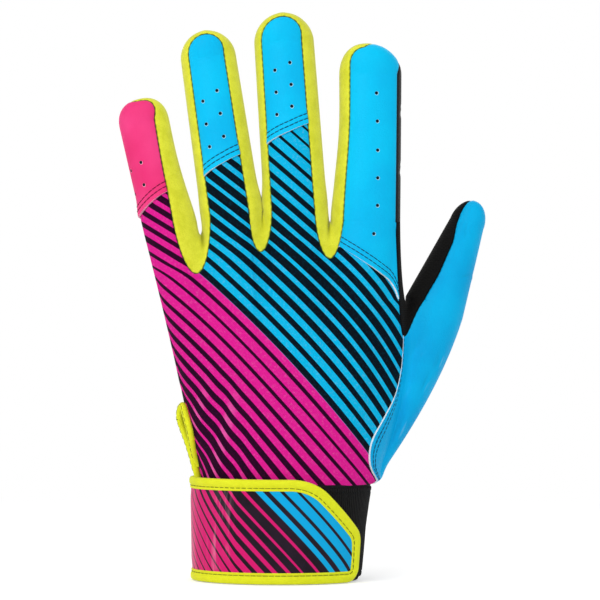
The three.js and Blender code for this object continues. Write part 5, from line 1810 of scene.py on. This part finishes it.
def make_vent_binding():
    """The tape round the slit, folded to a loop, and its stitches."""
    path = []
    for shift, height, off in VENT_PATH:
        row = np.array([(height - CUFF_TOP) / (PINKY.centre[2] - CUFF_TOP)])
        column = ULNAR + shift / column_size_at(ULNAR, row[0])
        path.append(hand_point(column, row, -off - 0.3)[0])
    path = resample(smooth_line(path, 12), VENT_STEP)
    ahead = unit(np.gradient(path, axis=0))
    across = unit(np.cross(ahead, np.array([-1.0, -0.35, 0.0])))
    out = np.cross(across, ahead)
    run = np.arange(len(path)) * VENT_STEP
    turn = ring_turns(20)
    wide = VENT_WIDE + 0.42 * bell((run - 15) / 7) + 0.04 * np.cos(2 * PI * run / 2.4)
    body = (path[:, None] + across[:, None] * (wide[:, None] * np.cos(turn))[..., None]
            + out[:, None] * (VENT_THICK * np.sin(turn))[None, :, None])
    rides(sweep("vent_tape", body, [BINDING]), "yellow_binding", "vent_binding")
    outs = unit(out + across * 0.5)
    line = path + outs * VENT_THICK
    # A short row across the tape, just past its highest place.
    k = int(np.argmax(path[:, 2])) + 14
    over = np.linspace(-1.1, 1.1, 9)[:, None]
    crossing = path[k] + across[k] * over + out[k] * (VENT_THICK * np.sqrt(1 - (over / 1.4) ** 2))
    rows = [(line[8:-8], outs[8:-8]), (crossing, unit(out[k] + across[k] * over))]
    rides(stitches("vent_stitching", rows, OLIVE_THREAD, 2.4, 0.97, 0.12), "yellow_binding")


make_cuff()
make_strap()
make_sewn_end()
make_vent_binding()

# ---------------------------------------------------------------- floor, light and camera

FLOOR_GLOW = 0.42
FLOOR_FADE = (0.15, 0.5)  # metres from the glove, between which the floor turns to plain white
WORLD_LIGHT, WORLD_SEEN = 0.52, 1.0  # the white surroundings, as a light and to the eye
# The lamps: place, side and power. All look at LAMP_AIM.
LAMPS = {"key": ((-0.6, -1.3, 0.95), 0.9, 7.6), "fill": ((0.8, -1.25, 0.45), 0.9, 2.6),
         "side": ((-1.35, -0.35, 0.1), 0.3, 2.4), "top": ((0.0, -0.1, 1.5), 1.0, 2.6),
         "rear": ((0.3, 1.3, 0.8), 1.0, 3.0)}
LAMP_AIM = np.array([0, 0, 0.1])
CAMERA_PLACE, CAMERA_LENS = (0.00752, -1.2, 0.10602), 189.5


def seen_rays(tree):
    """A socket that is 1 for the rays that show a surface, and 0 for those that only light others."""
    path = tree.nodes.new("ShaderNodeLightPath")
    seen = path.outputs["Is Camera Ray"]
    for kind in ("Is Glossy Ray", "Is Transmission Ray"):
        larger = tree.nodes.new("ShaderNodeMath")
        larger.operation = "MAXIMUM"
        tree.links.new(seen, larger.inputs[0])
        tree.links.new(path.outputs[kind], larger.inputs[1])
        seen = larger.outputs[0]
    return seen


def make_stage():
    """A white floor. To the eye it glows a little and fades to plain white, and as a light it does neither."""
    bpy.ops.mesh.primitive_plane_add(size=6.0, location=(0, 1.2, -0.0002))
    floor = bpy.context.object
    floor.name = "floor"
    n = Nodes("floor_white", 0.9, 0.0)
    n.shader.inputs["Base Color"].default_value = (0.93, 0.93, 0.93, 1)

    def blended(kind, *sources):
        node = n.add(kind)
        for socket, value in zip(node.inputs, sources):
            n.put(socket, value)
        return node.outputs[0]

    glow = n.add("ShaderNodeEmission")
    glow.inputs["Strength"].default_value = FLOOR_GLOW
    near = blended("ShaderNodeAddShader", n.shader.outputs[0], glow.outputs[0])
    away = n.add("ShaderNodeVectorMath", operation="LENGTH")
    n.put(away.inputs[0], n.add("ShaderNodeNewGeometry").outputs["Position"])
    seen = blended("ShaderNodeMixShader", n.span(away.outputs["Value"], *FLOOR_FADE), near,
                   n.add("ShaderNodeEmission").outputs[0])
    whole = blended("ShaderNodeMixShader", seen_rays(n.tree), n.shader.outputs[0], seen)
    n.put(n.tree.nodes["Material Output"].inputs[0], whole)
    floor.data.materials.append(n.material)


def make_light():
    world = bpy.data.worlds.new("studio")
    bpy.context.scene.world = world
    world.use_nodes = True
    tree = world.node_tree
    back = tree.nodes["Background"]
    back.inputs["Color"].default_value = WHITE
    span = tree.nodes.new("ShaderNodeMapRange")
    span.inputs["To Min"].default_value = WORLD_LIGHT
    span.inputs["To Max"].default_value = WORLD_SEEN
    tree.links.new(seen_rays(tree), span.inputs["Value"])
    tree.links.new(span.outputs["Result"], back.inputs["Strength"])
    for name, (place, size, power) in LAMPS.items():
        data = bpy.data.lights.new(name, "AREA")
        data.shape, data.size, data.energy = "SQUARE", size, power
        lamp = bpy.data.objects.new(name, data)
        bpy.context.scene.collection.objects.link(lamp)
        lamp.location = place
        lamp.rotation_euler = Vector(LAMP_AIM - np.array(place)).to_track_quat("-Z", "Y").to_euler()


def make_camera():
    data = bpy.data.cameras.new("camera")
    data.lens, data.sensor_width = CAMERA_LENS, 36.0
    camera = bpy.data.objects.new("camera", data)
    camera.location = CAMERA_PLACE
    camera.rotation_euler = (PI / 2, 0, 0)
    bpy.context.scene.collection.objects.link(camera)
    bpy.context.scene.camera = camera


make_stage()
make_light()
make_camera()
bpy.context.scene.view_settings.view_transform = "Standard"
